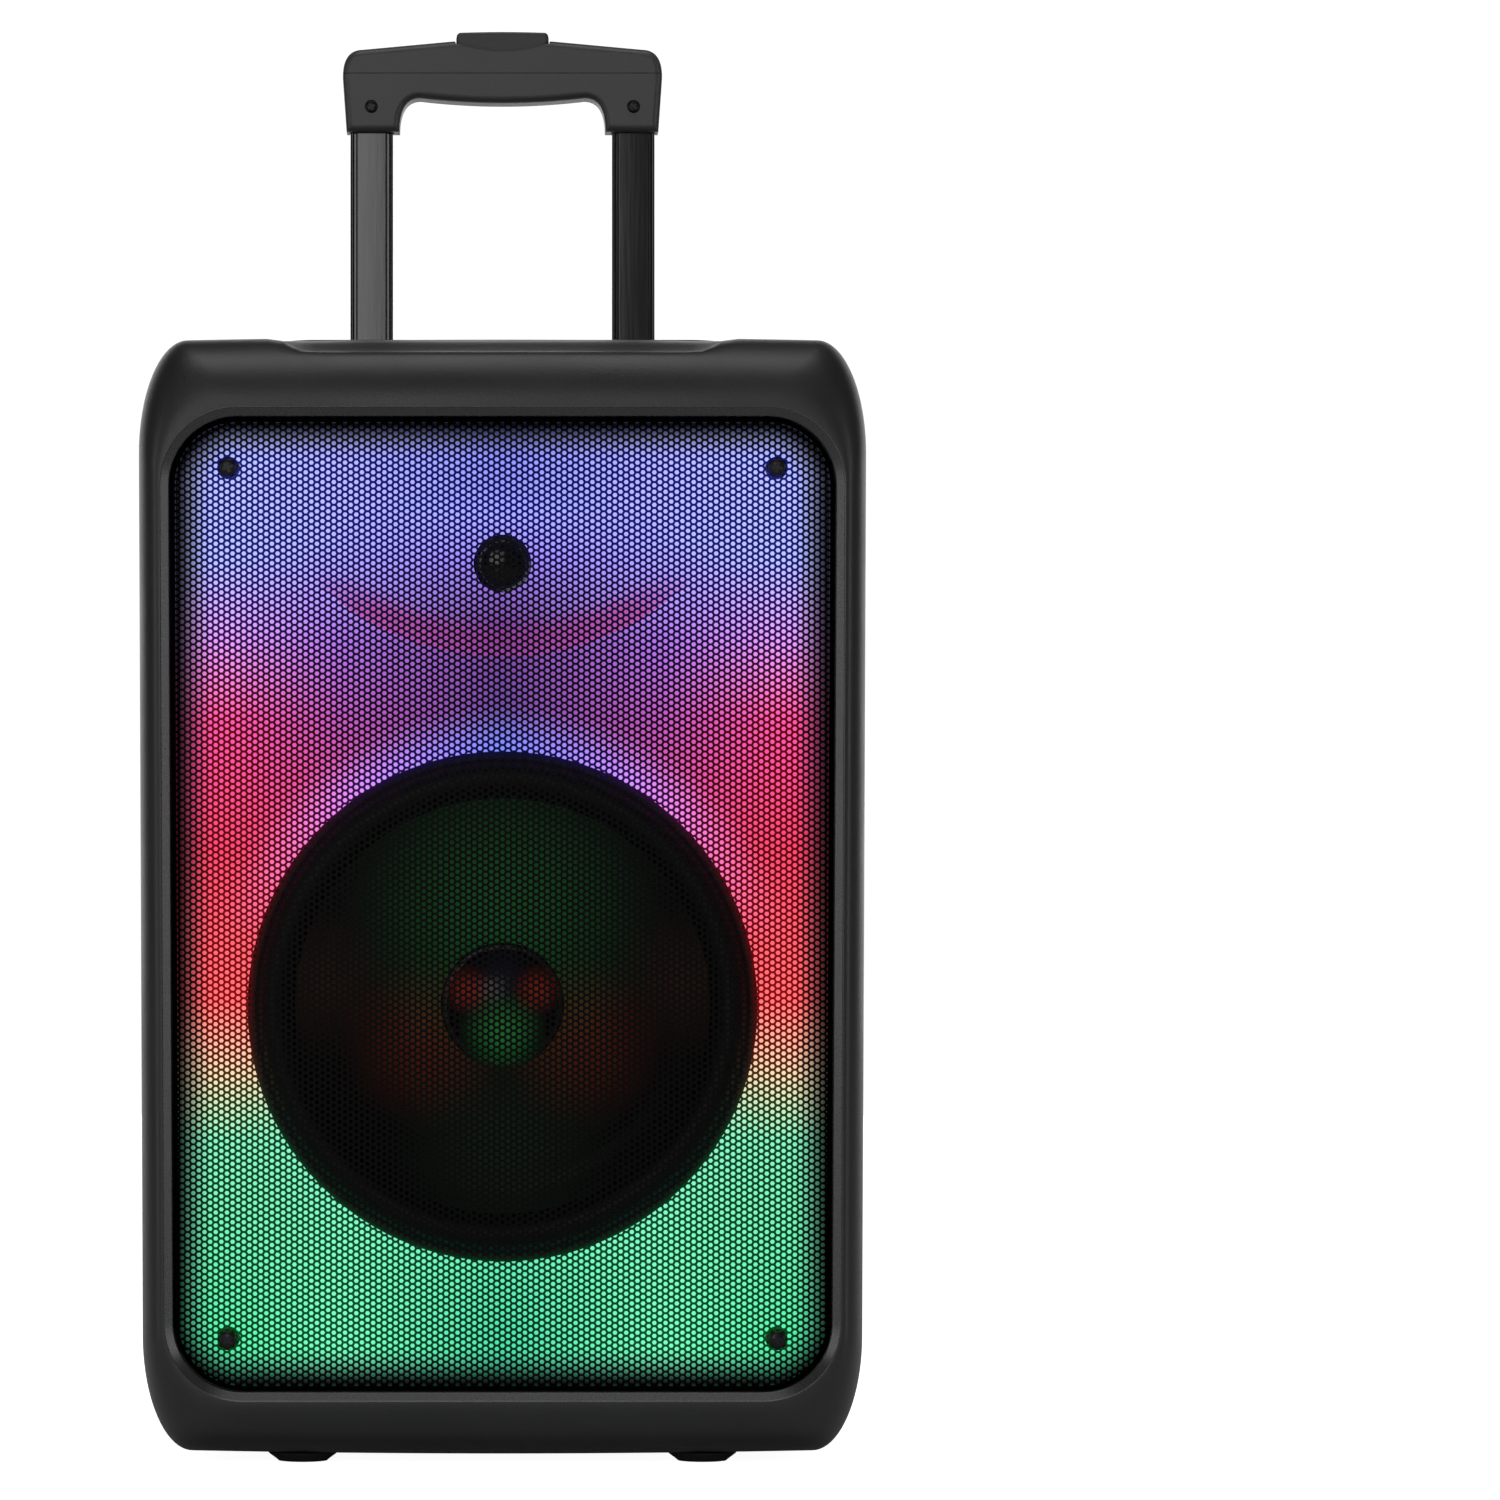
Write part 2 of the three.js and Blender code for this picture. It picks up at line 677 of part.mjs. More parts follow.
function makeBaffle() {
  const points = openingOutline(baffle.overlap);
  const board = loft([
    { y: baffleFront, points },
    { y: baffleFront + baffle.thick, points },
  ]);
  const postFront = grilleFront + grille.sheet + gap;
  const posts = screwPlaces().map(([x, z]) =>
    bar("y", grilleScrew.post, postFront, baffleFront + past, x, 0, z));
  const bores = screwPlaces().map(([x, z]) =>
    bar("y", grilleScrew.shank + gap, front, baffleFront + gap, x, 0, z, 12));
  const wooferHole = bar("y", woofer.radius - basket.holeInset, front, 0, 0, 0, wooferZ, 32);
  const hornHole = hornFlare(horn.wall + past, clear);
  place("baffle", cutBy(joined(board, ...posts), wooferHole, hornHole, ...bores), fibreboard);
}

// ---- Woofer ----

function makeWooferFrame() {
  const flangeEdge = woofer.radius + woofer.flange;
  const outside = woofer.radius - basket.inset;
  const inside = outside - basket.wall;
  const neck = woofer.coilRadius + basket.wall;
  const seat = basket.seatRadius;
  const bend = baffleFront + baffle.thick;
  const profile = [
    [inside, coneFront],
    [flangeEdge, coneFront],
    [flangeEdge, baffleFront - gap],
    [outside, baffleFront - gap],
    [outside, bend],
    [seat + basket.wall, seatY - basket.wall],
    [seat + basket.wall, seatY],
    [neck, seatY],
    [neck, seatY - basket.floor],
    [seat, seatY - basket.floor],
    [seat, seatY - basket.floor - basket.wall],
    [inside, bend - basket.floor],
  ];
  const windows = Array.from({ length: basket.windows }, (_, i) => {
    const near = [-basket.windowHalfWide, bend + basket.windowFront, seat + basket.windowInner];
    const far = [basket.windowHalfWide, seatY - basket.windowBack, woofer.radius];
    const angle = ((i + 0.5) / basket.windows) * 360;
    return block(near, far).rotate([0, angle, 0]).translate([0, 0, wooferZ]);
  });
  place("woofer_frame", cutBy(turned(profile, 0, wooferZ), ...windows), screwSteel);
}

function makeWooferMagnet() {
  const start = seatY + gap;
  const end = start + magnet.thick;
  const slotEnd = end - magnet.backPlate;
  const inside = woofer.coilRadius - woofer.coil - woofer.coilRoom;
  const outside = woofer.coilRadius + woofer.coilRoom;
  const profile = [
    [0, end],
    [magnet.radius, end],
    [magnet.radius, start],
    [outside, start],
    [outside, slotEnd],
    [inside, slotEnd],
    [inside, start],
    [0, start],
  ];
  place("woofer_magnet", turned(profile, 0, wooferZ, 24), magnetFerrite);
}

function makeSurround() {
  const flatEdge = woofer.radius - woofer.lip;
  const middle = (flatEdge + coneRadius) / 2;
  const half = woofer.rollWidth / 2;
  const [under, over] = [coneFront - gap, coneFront - woofer.roll];
  const roll = (shrink) =>
    [0, 1, 2, 3].map((i) => {
      const angle = (i / 3) * Math.PI;
      return [
        middle + (half - shrink) * Math.cos(angle),
        over - (woofer.rollTall - shrink) * Math.sin(angle),
      ];
    });
  const profile = [
    [woofer.radius, under],
    [woofer.radius, over],
    ...roll(0),
    [coneRadius, under],
    [coneRadius + woofer.roll, under],
    ...roll(woofer.roll).reverse(),
    [flatEdge - woofer.roll, under],
  ];
  place("woofer_surround", turned(profile, 0, wooferZ, 28), rubber);
}

function makeSpider() {
  const inside = woofer.coilRadius + woofer.coilRoom;
  const outside = basket.seatRadius - past;
  const y = seatY - spider.beforeSeat;
  const wave = (offset) =>
    Array.from({ length: spider.folds + 1 }, (_, i) => [
      inside + ((outside - inside) * i) / spider.folds,
      y + offset + (i % 2 ? spider.ridge : -spider.ridge),
    ]);
  place("woofer_spider", turned([...wave(0), ...wave(spider.thick).reverse()], 0, wooferZ, 20), spiderCloth);
}

function makeCone() {
  const edge = coneRadius - slip;
  const neck = woofer.coilRadius + woofer.coilRoom;
  const steps = 3;
  const side = (shift) =>
    Array.from({ length: steps + 1 }, (_, i) => {
      const share = i / steps;
      const bow = woofer.coneBow * Math.sin(share * Math.PI);
      return [edge + (neck - edge) * share, coneFront + shift + woofer.coneDeep * share - bow];
    });
  place("woofer_cone", turned([...side(0), ...side(woofer.cone).reverse()], 0, wooferZ, 28), conePolymer);
}

function makeDustCap() {
  const seat = (woofer.capRadius - woofer.coilRadius) / (coneRadius - woofer.coilRadius);
  const y = coneFront + woofer.coneDeep * (1 - seat) - woofer.capLift;
  const dome = (shrink) =>
    quarter.map((t) => [
      (woofer.capRadius - shrink) * Math.cos(t),
      y - (woofer.capTall - shrink) * Math.sin(t),
    ]);
  place("dust_cap", turned([...dome(woofer.cone).reverse(), ...dome(0)], 0, wooferZ, 20), glossPlastic);
}

function makeVoiceCoil() {
  const outside = woofer.coilRadius;
  const inside = outside - woofer.coil;
  const start = coneFront + woofer.coneDeep + woofer.cone + gap;
  const end = seatY + woofer.coilReach;
  const profile = [
    [inside, start],
    [outside, start],
    [outside, end],
    [inside, end],
  ];
  place("voice_coil", turned(profile, 0, wooferZ, 20), copper);
}

// ---- Bass port and rear connections ----

function makeBassPort() {
  const outside = port.bore + port.wall;
  const rim = outside + port.flange;
  const [seat, face] = [back + gap, back + gap + port.flangeThick];
  const profile = [
    [port.bore, back - port.length],
    [outside, back - port.length],
    [outside, seat],
    [rim, seat],
    [rim - port.flangeDraft, face],
    [port.bore + port.flareWide, face],
    [port.bore, seat - port.flareDeep],
  ];
  place("bass_port", turned(profile, 0, base + port.height, 28), panelPlastic);
}

function makeRearPanel() {
  const face = back - gap;
  const plate = carried(
    roundRectangle(rearPanel.width, rearPanel.height, rearPanel.corner, 0, panelZ),
    face - cabinet.wall,
    face,
  );
  const inletHole = block(
    [inlet.x - inlet.wide / 2 - gap, 0, panelZ - inlet.tall / 2 - gap],
    [inlet.x + inlet.wide / 2 + gap, back, panelZ + inlet.tall / 2 + gap],
  );
  const rockerHole = block(
    [rocker.x - rocker.wide / 2 - slip, 0, panelZ - rocker.tall / 2 - slip],
    [rocker.x + rocker.wide / 2 + slip, back, panelZ + rocker.tall / 2 + slip],
  );
  place("rear_panel", cutBy(plate, inletHole, rockerHole), panelPlastic);
}

function makeInlet() {
  const face = back - gap;
  const [halfWide, halfTall] = [inlet.wide / 2, inlet.tall / 2];
  const body = block(
    [inlet.x - halfWide, face - inlet.deep, panelZ - halfTall],
    [inlet.x + halfWide, face, panelZ + halfTall],
  );
  const socketFloor = face - inlet.deep + inlet.wall;
  const socket = block(
    [inlet.x - halfWide + inlet.wall, socketFloor, panelZ - halfTall + inlet.wall],
    [inlet.x + halfWide - inlet.wall, back, panelZ + halfTall - inlet.wall],
  );
  const contacts = [-1, 0, 1].map((i) => {
    const [x, z] = [inlet.x + i * pins.pitch, panelZ + (i ? -pins.below : pins.earthAbove)];
    return block(
      [x - pins.wide / 2, socketFloor - past, z - pins.tall / 2],
      [x + pins.wide / 2, socketFloor + pins.long, z + pins.tall / 2],
    );
  });
  place("power_inlet", joined(cutBy(body, socket), ...contacts), panelPlastic);
}

function makeRocker() {
  const [half, face] = [rocker.tall / 2, back - gap];
  const side = new THREE.Shape();
  side.moveTo(-half + 2 * rocker.draft, face - rocker.deep);
  side.lineTo(half - 2 * rocker.draft, face - rocker.deep);
  side.lineTo(half - rocker.draft, face + rocker.pressedEnd);
  side.lineTo(0, face + rocker.valley);
  side.lineTo(-half + rocker.draft, face + rocker.proud);
  const geometry = new THREE.ExtrudeGeometry(side, { depth: rocker.wide, bevelEnabled: false });
  geometry.translate(0, 0, -rocker.wide / 2).rotateY(Math.PI / 2).translate(rocker.x, 0, panelZ);
  place("power_switch", solidFrom(geometry), glossPlastic);
}

// ---- Control tray in the top ----

function keyPlaces() {
  const middle = (keys.names.length - 1) / 2;
  return keys.names.map((name, i) => ({ name, x: (i - middle) * keys.pitch }));
}

// A box with a margin all round a middle on the tray's floor.
function trayBox(x, y, wide, long, margin, low, high) {
  const [halfWide, halfLong] = [wide / 2 + margin, long / 2 + margin];
  return block([x - halfWide, y - halfLong, low], [x + halfWide, y + halfLong, high]);
}

function makeTray() {
  const middle = (trayFront + trayBack) / 2;
  const length = trayBack - trayFront;
  const rim = top - cabinet.crown;
  const outside = roundRectangle(tray.width + 2 * tray.wall, length + 2 * tray.wall, tray.corner, 0, middle);
  const inside = roundRectangle(tray.width, length, tray.corner - tray.wall, 0, middle);
  const [low, high] = [trayFloor - tray.wall - past, trayFloor + past];
  const shaftHoles = knobs.map((knob) =>
    bar("z", knobShaft.radius + slip, low, high, knob.x, trayFront + knob.inTray, 0));
  const keyHoles = keyPlaces().map(({ x }) => trayBox(x, keysY, keys.wide, keys.long, slip, low, high));
  const jackHole = bar("z", jack.barrel + gap, low, high, jack.x, jackY, 0, 24);
  const usbHole = trayBox(usb.x, usbY, usb.slotWide, usb.slotTall, usb.wall + gap, low, high);
  const shell = raised(outside, trayFloor - tray.wall, rim);
  const space = raised(inside, trayFloor, rim + past);
  place("top_panel", cutBy(shell, space, ...shaftHoles, ...keyHoles, jackHole, usbHole), panelPlastic);
}

function makeKnobs() {
  for (const knob of knobs) {
    const y = trayFront + knob.inTray;
    const low = trayFloor + gap;
    const high = low + knob.tall;
    const body = knob.radius - knobSkirt.wide;
    const facets = Math.round(knob.radius / 2) + 14;
    const markEnd = y + knob.radius - knobMark.inFromEdge;
    place(
      knob.name,
      joined(
        bar("z", knob.radius, low, low + knobSkirt.tall, knob.x, y, 0, facets),
        bar("z", body, low + past, high, knob.x, y, 0, facets, body - knobSkirt.wide),
        bar("z", knobShaft.radius, trayFloor - tray.wall - knobShaft.below, low + past, knob.x, y, 0),
        block(
          [knob.x - knobMark.halfWide, markEnd - knobMark.long, high - knobMark.proud],
          [knob.x + knobMark.halfWide, markEnd, high + knobMark.proud],
        ),
      ),
      glossPlastic,
    );
  }
}

function makeKeys() {
  for (const { name, x } of keyPlaces()) {
    const low = trayFloor - keys.stem;
    const shape = roundRectangle(keys.wide, keys.long, keys.corner, x, keysY);
    const cap = raised(shape, low, trayFloor + keys.proud);
    const flangeTop = trayFloor - tray.wall - gap;
    const flange = trayBox(x, keysY, keys.wide, keys.long, keys.flange, low, flangeTop);
    place(name, joined(cap, flange), keyPlastic);
  }
}

function makeDisplay() {
  const low = trayFloor + gap;
  const shape = roundRectangle(display.wide, display.long, display.corner, 0, trayFront + display.inTray);
  place("display_window", raised(shape, low, low + display.thick), smokedWindow);
}

function makeJack() {
  const seat = trayFloor + gap;
  const low = trayFloor - jack.deep;
  const nut = bar("z", jack.nut, seat, seat + jack.nutTall, jack.x, jackY, 0, 6);
  const barrel = bar("z", jack.barrel, low, seat + past, jack.x, jackY, 0, 20);
  const bore = bar("z", jack.bore, low + jack.floor, trayFloor + clear, jack.x, jackY, 0);
  place("mic_jack", cutBy(joined(nut, barrel), bore), brightSteel);
}

function makeUsbPort() {
  const lid = trayFloor + gap;
  const low = lid - usb.deep;
  const body = trayBox(usb.x, usbY, usb.slotWide, usb.slotTall, usb.wall, low, lid);
  const slot = trayBox(usb.x, usbY, usb.slotWide, usb.slotTall, 0, low + usb.wall, lid + past);
  place("usb_port", cutBy(body, slot), brightSteel);
}

function makeControlBoard() {
  const face = trayFloor - controlBoard.below;
  const low = face - controlBoard.thick;
  const middle = (trayFront + trayBack) / 2;
  const board = trayBox(0, middle, controlBoard.width, controlBoard.length, 0, low, face);
  const bodies = chips.map(({ x, y, size }) =>
    trayBox(x, middle + y, size, size, 0, low - chipTall, low + controlBoard.thick / 2));
  place("control_board", joined(board, ...bodies), circuitBoard);
}

// ---- Handle ----

// The telescoping sections are box tubes with round edges, centred on the same two upright lines.
function tubeSection(outset, low, high, x) {
  const [wide, thick] = [tube.wide + 2 * outset, tube.thick + 2 * outset];
  return raised(roundRectangle(wide, thick, tube.corner + outset, x, tubeY), low, high);
}
const middleBore = slip;
const middleOutside = middleBore + middleTube.wall;
const guideBore = middleOutside + slip;
const guideOutside = guideBore + guide.wall;
const guideTop = wellFloor + gap + guide.flangeTall;
const collarTop = guideTop + gap + middleTube.collarTall;
const legEnd = top + grip.rise;
const socketTop = legEnd + grip.socket;

function makeWell() {
  const middle = (wellFront + wellBack) / 2;
  const length = wellBack - wellFront;
  const rim = top - cabinet.crown;
  const outside = roundRectangle(well.width + 2 * well.wall, length + 2 * well.wall, well.corner, 0, middle);
  const inside = roundRectangle(well.width, length, well.corner - well.wall, 0, middle);
  const low = wellFloor - well.wall;
  const holes = sides.map((side) =>
    tubeSection(guideOutside + gap, low - past, wellFloor + past, side * tubeX));
  const shell = raised(outside, low, rim);
  const space = raised(inside, wellFloor, rim + past);
  place("handle_well", cutBy(shell, space, ...holes), panelPlastic);
}

function makeTelescope() {
  for (const [i, name] of ["left", "right"].entries()) {
    const x = sides[i] * tubeX;
    const sleeveLow = base + guide.bottom;
    const flange = tubeSection(guideOutside + guide.flange, wellFloor + gap, guideTop, x);
    const sleeve = tubeSection(guideOutside, sleeveLow, guideTop, x);
    const sleeveBore = tubeSection(guideBore, sleeveLow - past, guideTop + past, x);
    place("handle_guide_" + name, cutBy(joined(sleeve, flange), sleeveBore), panelPlastic);

    const stageLow = base + middleTube.bottom;
    const collar = tubeSection(middleOutside + middleTube.collar, guideTop + gap, collarTop, x);
    const stage = tubeSection(middleOutside, stageLow, collarTop, x);
    const stageBore = tubeSection(middleBore, stageLow - past, collarTop + past, x);
    place("middle_tube_" + name, cutBy(joined(stage, collar), stageBore), tubeSteel);

    const innerTop = socketTop - gap;
    const inner = tubeSection(0, innerTop - innerTube.length, innerTop, x);
    const innerBore = tubeSection(-tube.wall, innerTop - innerTube.length - past, innerTop + past, x);
    place("inner_tube_" + name, cutBy(inner, innerBore), tubeSteel);
  }
}

// The grip from the front: a bar with a bulge under the palm, and a leg down to each tube.
function gripShape() {
  const [half, leg, open] = [grip.width / 2, grip.legWidth / 2, grip.openWidth / 2];
  const [shoulder, high] = [legEnd + grip.shoulder, legEnd + grip.top];
  const sideTop = legEnd + grip.parting - grip.undersideEdge + grip.underside;
  const [underside, undersideEdge] = [legEnd + grip.underside, legEnd + grip.undersideEdge];
  const shoulderX = half - grip.shoulderWide;
  const openX = open - grip.openRound;
  const flat = releaseButton.width / 2 + releaseButton.room;
  const shape = new THREE.Shape();
  shape.moveTo(leg, legEnd);
  shape.lineTo(half, sideTop);
  shape.quadraticCurveTo(half + grip.sideBulge, shoulder, shoulderX, shoulder);
  shape.lineTo(flat, high);
  shape.lineTo(-flat, high);
  shape.lineTo(-shoulderX, shoulder);
  shape.quadraticCurveTo(-half - grip.sideBulge, shoulder, -half, sideTop);
  shape.lineTo(-leg, legEnd);
  shape.lineTo(-open, legEnd);
  shape.quadraticCurveTo(-open, undersideEdge, -openX, undersideEdge);
  shape.quadraticCurveTo(0, 2 * underside - undersideEdge, openX, undersideEdge);
  shape.quadraticCurveTo(open, undersideEdge, open, legEnd);
  return shape;
}

// Everything above the smile-shaped lip that shows the button.
function lipCut() {
  const half = releaseButton.width / 2 + slip;
  const [side, middle] = [legEnd + releaseButton.lipSide, legEnd + releaseButton.lipMiddle];
  const shape = new THREE.Shape();
  shape.moveTo(half, side);
  shape.lineTo(half, side + clear);
  shape.lineTo(-half, side + clear);
  shape.lineTo(-half, side);
  shape.quadraticCurveTo(0, 2 * middle - side, half, side);
  return carried(shape, tubeY - grip.thick, tubeY + grip.thick, 0, 8);
}

function makeGrip() {
  const halfThick = grip.thick / 2;
  const body = carried(gripShape(), tubeY - halfThick, tubeY + halfThick, grip.round, 4);

  const half = releaseButton.width / 2 + slip;
  const deep = halfThick - releaseButton.lip;
  const pocketLow = legEnd + releaseButton.bottom - releaseButton.travel - gap;
  const pocketTop = legEnd + grip.top + clear;
  const pocket = block([-half, tubeY - deep, pocketLow], [half, tubeY + deep, pocketTop]);

  const halfBar = releaseBar.thick / 2 + slip;
  const barLow = pocketLow - gap - releaseBar.tall;
  const barEnd = tubeX + releaseBar.rod + past;
  const partingZ = legEnd + grip.parting;
  const channel = block([-barEnd, tubeY - halfBar, barLow], [barEnd, tubeY + halfBar, partingZ + past]);

  const rodHole = releaseBar.rod + slip;
  const screwZ = legEnd + gripScrew.height;
  const sunk = tubeY - halfThick + gripScrew.sink;
  const tubeFace = tubeY - tube.thick / 2 - gap;
  const perTube = [-tubeX, tubeX].flatMap((x) => [
    tubeSection(gap, legEnd - past, socketTop, x),
    bar("z", rodHole, socketTop - past, barLow + past, x, tubeY, 0, 12),
    bar("y", gripScrew.head + gap, tubeY - grip.thick, sunk, x, 0, screwZ),
    bar("y", gripScrew.shank + gap, tubeY - grip.thick, tubeFace, x, 0, screwZ, 12),
  ]);
  const whole = cutBy(body, pocket, channel, lipCut(), ...perTube);

  const wide = grip.width;
  const below = block([-wide, tubeY - wide, legEnd - clear], [wide, tubeY + wide, partingZ]);
  const above = block([-wide, tubeY - wide, partingZ + gap], [wide, tubeY + wide, pocketTop]);
  place("grip_lower", whole.intersect(below), shellPlastic);
  place("grip_upper", whole.intersect(above), shellPlastic);
}

function makeGripScrews() {
  const face = tubeY - grip.thick / 2;
  const seat = face + gripScrew.sink - gap;
  const shankEnd = tubeY - tube.thick / 2 - 2 * gap;
  const z = legEnd + gripScrew.height;
  for (const [i, name] of ["grip_screw_left", "grip_screw_right"].entries()) {
    const x = sides[i] * tubeX;
    const head = bar("y", gripScrew.head, face - gripScrew.headProud, seat, x, 0, z);
    const shank = bar("y", gripScrew.shank, face, shankEnd, x, 0, z, 12);
    place(name, joined(head, shank), brightSteel);
  }
}

function makeReleaseButton() {
  const half = releaseButton.width / 2;
  const deep = grip.thick / 2 - releaseButton.lip - slip;
  const [low, crest] = [legEnd + releaseButton.bottom, legEnd + releaseButton.top];
  const [edge, corner] = [crest - releaseButton.crown, releaseButton.corner];
  const shape = new THREE.Shape();
  shape.moveTo(half, low);
  shape.lineTo(half, edge - corner);
  shape.quadraticCurveTo(half, edge, half - corner, edge);
  shape.quadraticCurveTo(0, crest + releaseButton.crown, -half + corner, edge);
  shape.quadraticCurveTo(-half, edge, -half, edge - corner);
  shape.lineTo(-half, low);
  const button = carried(shape, tubeY - deep, tubeY + deep, releaseButton.round, 4);
  place("release_button", button, keyPlastic);

  const high = low - gap;
  const halfBar = releaseBar.thick / 2;
  const reach = tubeX + releaseBar.rod;
  const cross = block([-reach, tubeY - halfBar, high - releaseBar.tall], [reach, tubeY + halfBar, high]);
  const rods = [-tubeX, tubeX].map((x) =>
    bar("z", releaseBar.rod, high - releaseBar.rodLength, high - past, x, tubeY, 0, 12));
  place("release_bar", joined(cross, ...rods), brightSteel);
}

// ---- Wheels ----

// A ring turned about the wheels' axle, from [radius, along] pairs.
function wheelRing(profile, x) {
  const points = profile.map(([radius, along]) => new THREE.Vector2(radius, along));
  const geometry = new THREE.LatheGeometry([...points, points[0].clone()], 20);
  return solidFrom(geometry.rotateZ(-Math.PI / 2).translate(x, wheelY, wheel.radius));
}

function makeWheels() {
  const axle = bar("x", axleRadius, gap - axleReach, axleReach - gap, 0, wheelY, wheel.radius);
  place("wheel_axle", axle, brightSteel);
  const half = wheel.width / 2;
  const [bead, round] = [half - wheel.bead, wheel.shoulder];
  const shoulder = quarter.map((t) => [
    wheel.radius - round + round * Math.sin(t),
    half - round + round * Math.cos(t),
  ]);
  const tyre = [
    [hub.radius + gap, -bead],
    ...shoulder.map(([radius, along]) => [radius, -along]),
    ...shoulder.reverse(),
    [hub.radius + gap, bead],
  ];
  const bore = axleRadius + slip;
  const [boss, rim, web] = [bore + hub.boss, hub.radius - hub.rim, hub.web / 2];
  const wheelHub = [
    [bore, -half],
    [boss, -half],
    [boss, -web],
    [rim, -web],
    [rim, -bead],
    [hub.radius, -bead],
    [hub.radius, bead],
    [rim, bead],
    [rim, web],
    [boss, web],
    [boss, half],
    [bore, half],
  ];
  for (const [i, name] of ["left", "right"].entries()) {
    const x = sides[i] * wheel.x;
    place("wheel_tyre_" + name, wheelRing(tyre, x), rubber);
    place("wheel_hub_" + name, wheelRing(wheelHub, x), keyPlastic);
  }
}

// ---- Power ----

function makeBattery() {
  const shape = roundRectangle(battery.width, battery.depth, battery.corner, 0, front + battery.fromFront);
  const floor = base + cabinet.wall + battery.above;
  place("battery_pack", raised(shape, floor, floor + battery.height), shrinkWrap);
}

function makeAmplifier() {
  const half = amplifier.width / 2;
  const middle = base + amplifier.middle;
  const [low, high] = [middle - amplifier.height / 2, middle + amplifier.height / 2];
  const rear = back - amplifier.fromBack;
  const face = rear - amplifier.board;
  const board = block([-half, face, low], [half, rear, high]);

  const sinkHalf = heatSink.width / 2;
  const sinkFront = face - heatSink.deep;
  const sinkLow = high - heatSink.tall - heatSink.base / 2;
  const sink = block([-sinkHalf, sinkFront, sinkLow], [sinkHalf, face + past, sinkLow + heatSink.base]);
  const fins = Array.from({ length: heatSink.fins }, (_, i) => {
    const x = (i - (heatSink.fins - 1) / 2) * heatSink.finPitch - heatSink.fin / 2;
    return block([x, sinkFront, sinkLow + past], [x + heatSink.fin, face - past, sinkLow + heatSink.tall]);
  });
  const cans = [-1, 0, 1].map((i) => {
    const x = i * capacitors.pitch;
    return bar("y", capacitors.radius, face - capacitors.long, face + past, x, 0, low + capacitors.aboveEdge);
  });
  place("amplifier_board", joined(board, sink, ...fins, ...cans), circuitBoard);
}

function makeSupply() {
  const half = supply.width / 2;
  const middle = base + supply.middle;
  const [low, high] = [middle - supply.height / 2, middle + supply.height / 2];
  const rear = back - supply.fromBack;
  const face = rear - supply.board;
  const board = block([-half, face, low], [half, rear, high]);
  const coreLeft = -transformer.fromMiddle;
  const core = block(
    [coreLeft, face - transformer.deep, low + transformer.edge],
    [coreLeft + transformer.width, face + past, high - transformer.edge],
  );
  const canFront = face - bulkCapacitor.long;
  const can = bar("y", bulkCapacitor.radius, canFront, face + past, bulkCapacitor.x, 0, middle);
  place("power_supply", joined(board, core, can), circuitBoard);
}

const makers = [
  makeFrontShell, makeRearShell, makeFeet,
  makeGrille, makeGrilleScrews, makeDiffuser, makeHorn, makeTweeter, makeLedStrips, makeBaffle,
  makeWooferFrame, makeWooferMagnet, makeSurround, makeSpider, makeCone, makeDustCap, makeVoiceCoil,
  makeBassPort, makeRearPanel, makeInlet, makeRocker,
  makeTray, makeKnobs, makeKeys, makeDisplay, makeJack, makeUsbPort, makeControlBoard,
  makeWell, makeTelescope, makeGrip, makeGripScrews, makeReleaseButton,
  makeWheels, makeBattery, makeAmplifier, makeSupply,
];
for (const make of makers) make();

export default speaker;
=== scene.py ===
import math

import bmesh
import bpy
import numpy as np
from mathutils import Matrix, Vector
from mathutils.geometry import delaunay_2d_cdt


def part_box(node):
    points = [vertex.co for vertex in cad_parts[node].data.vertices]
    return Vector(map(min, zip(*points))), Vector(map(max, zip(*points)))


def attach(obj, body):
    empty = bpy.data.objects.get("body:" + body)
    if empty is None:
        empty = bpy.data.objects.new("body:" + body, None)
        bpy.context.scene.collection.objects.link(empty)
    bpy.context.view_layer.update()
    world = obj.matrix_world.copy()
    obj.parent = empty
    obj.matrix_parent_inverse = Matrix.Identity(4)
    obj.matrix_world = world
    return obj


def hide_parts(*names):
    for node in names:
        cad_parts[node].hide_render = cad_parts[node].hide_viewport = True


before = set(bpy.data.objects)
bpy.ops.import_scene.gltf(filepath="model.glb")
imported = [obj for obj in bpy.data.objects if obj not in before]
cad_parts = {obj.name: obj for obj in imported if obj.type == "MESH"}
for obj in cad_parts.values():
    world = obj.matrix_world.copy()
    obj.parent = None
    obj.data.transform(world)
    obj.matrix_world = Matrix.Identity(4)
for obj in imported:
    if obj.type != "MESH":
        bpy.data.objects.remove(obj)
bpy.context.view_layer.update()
print("frame loaded,", len(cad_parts), "nodes")

mm = 0.001
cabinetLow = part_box("front_shell")[0]
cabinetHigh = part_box("front_shell")[1]
front = cabinetLow.y
seam = cabinetHigh.y
top = cabinetHigh.z
base = cabinetLow.z
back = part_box("rear_shell")[1].y


def nodeMiddle(node):
    low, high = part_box(node)
    return (low + high) / 2


def linear(hexColour):
    channels = [int(hexColour[i:i + 2], 16) / 255 for i in (1, 3, 5)]
    out = [c / 12.92 if c <= 0.04045 else ((c + 0.055) / 1.055) ** 2.4 for c in channels]
    return (*out, 1.0)


def addNode(tree, kind, settings=None, links=None):
    node = tree.nodes.new(kind)
    for key, value in (settings or {}).items():
        if isinstance(key, str) and hasattr(node, key):
            setattr(node, key, value)
        else:
            node.inputs[key].default_value = value
    for key, source in (links or {}).items():
        tree.links.new(source, node.inputs[key])
    return node


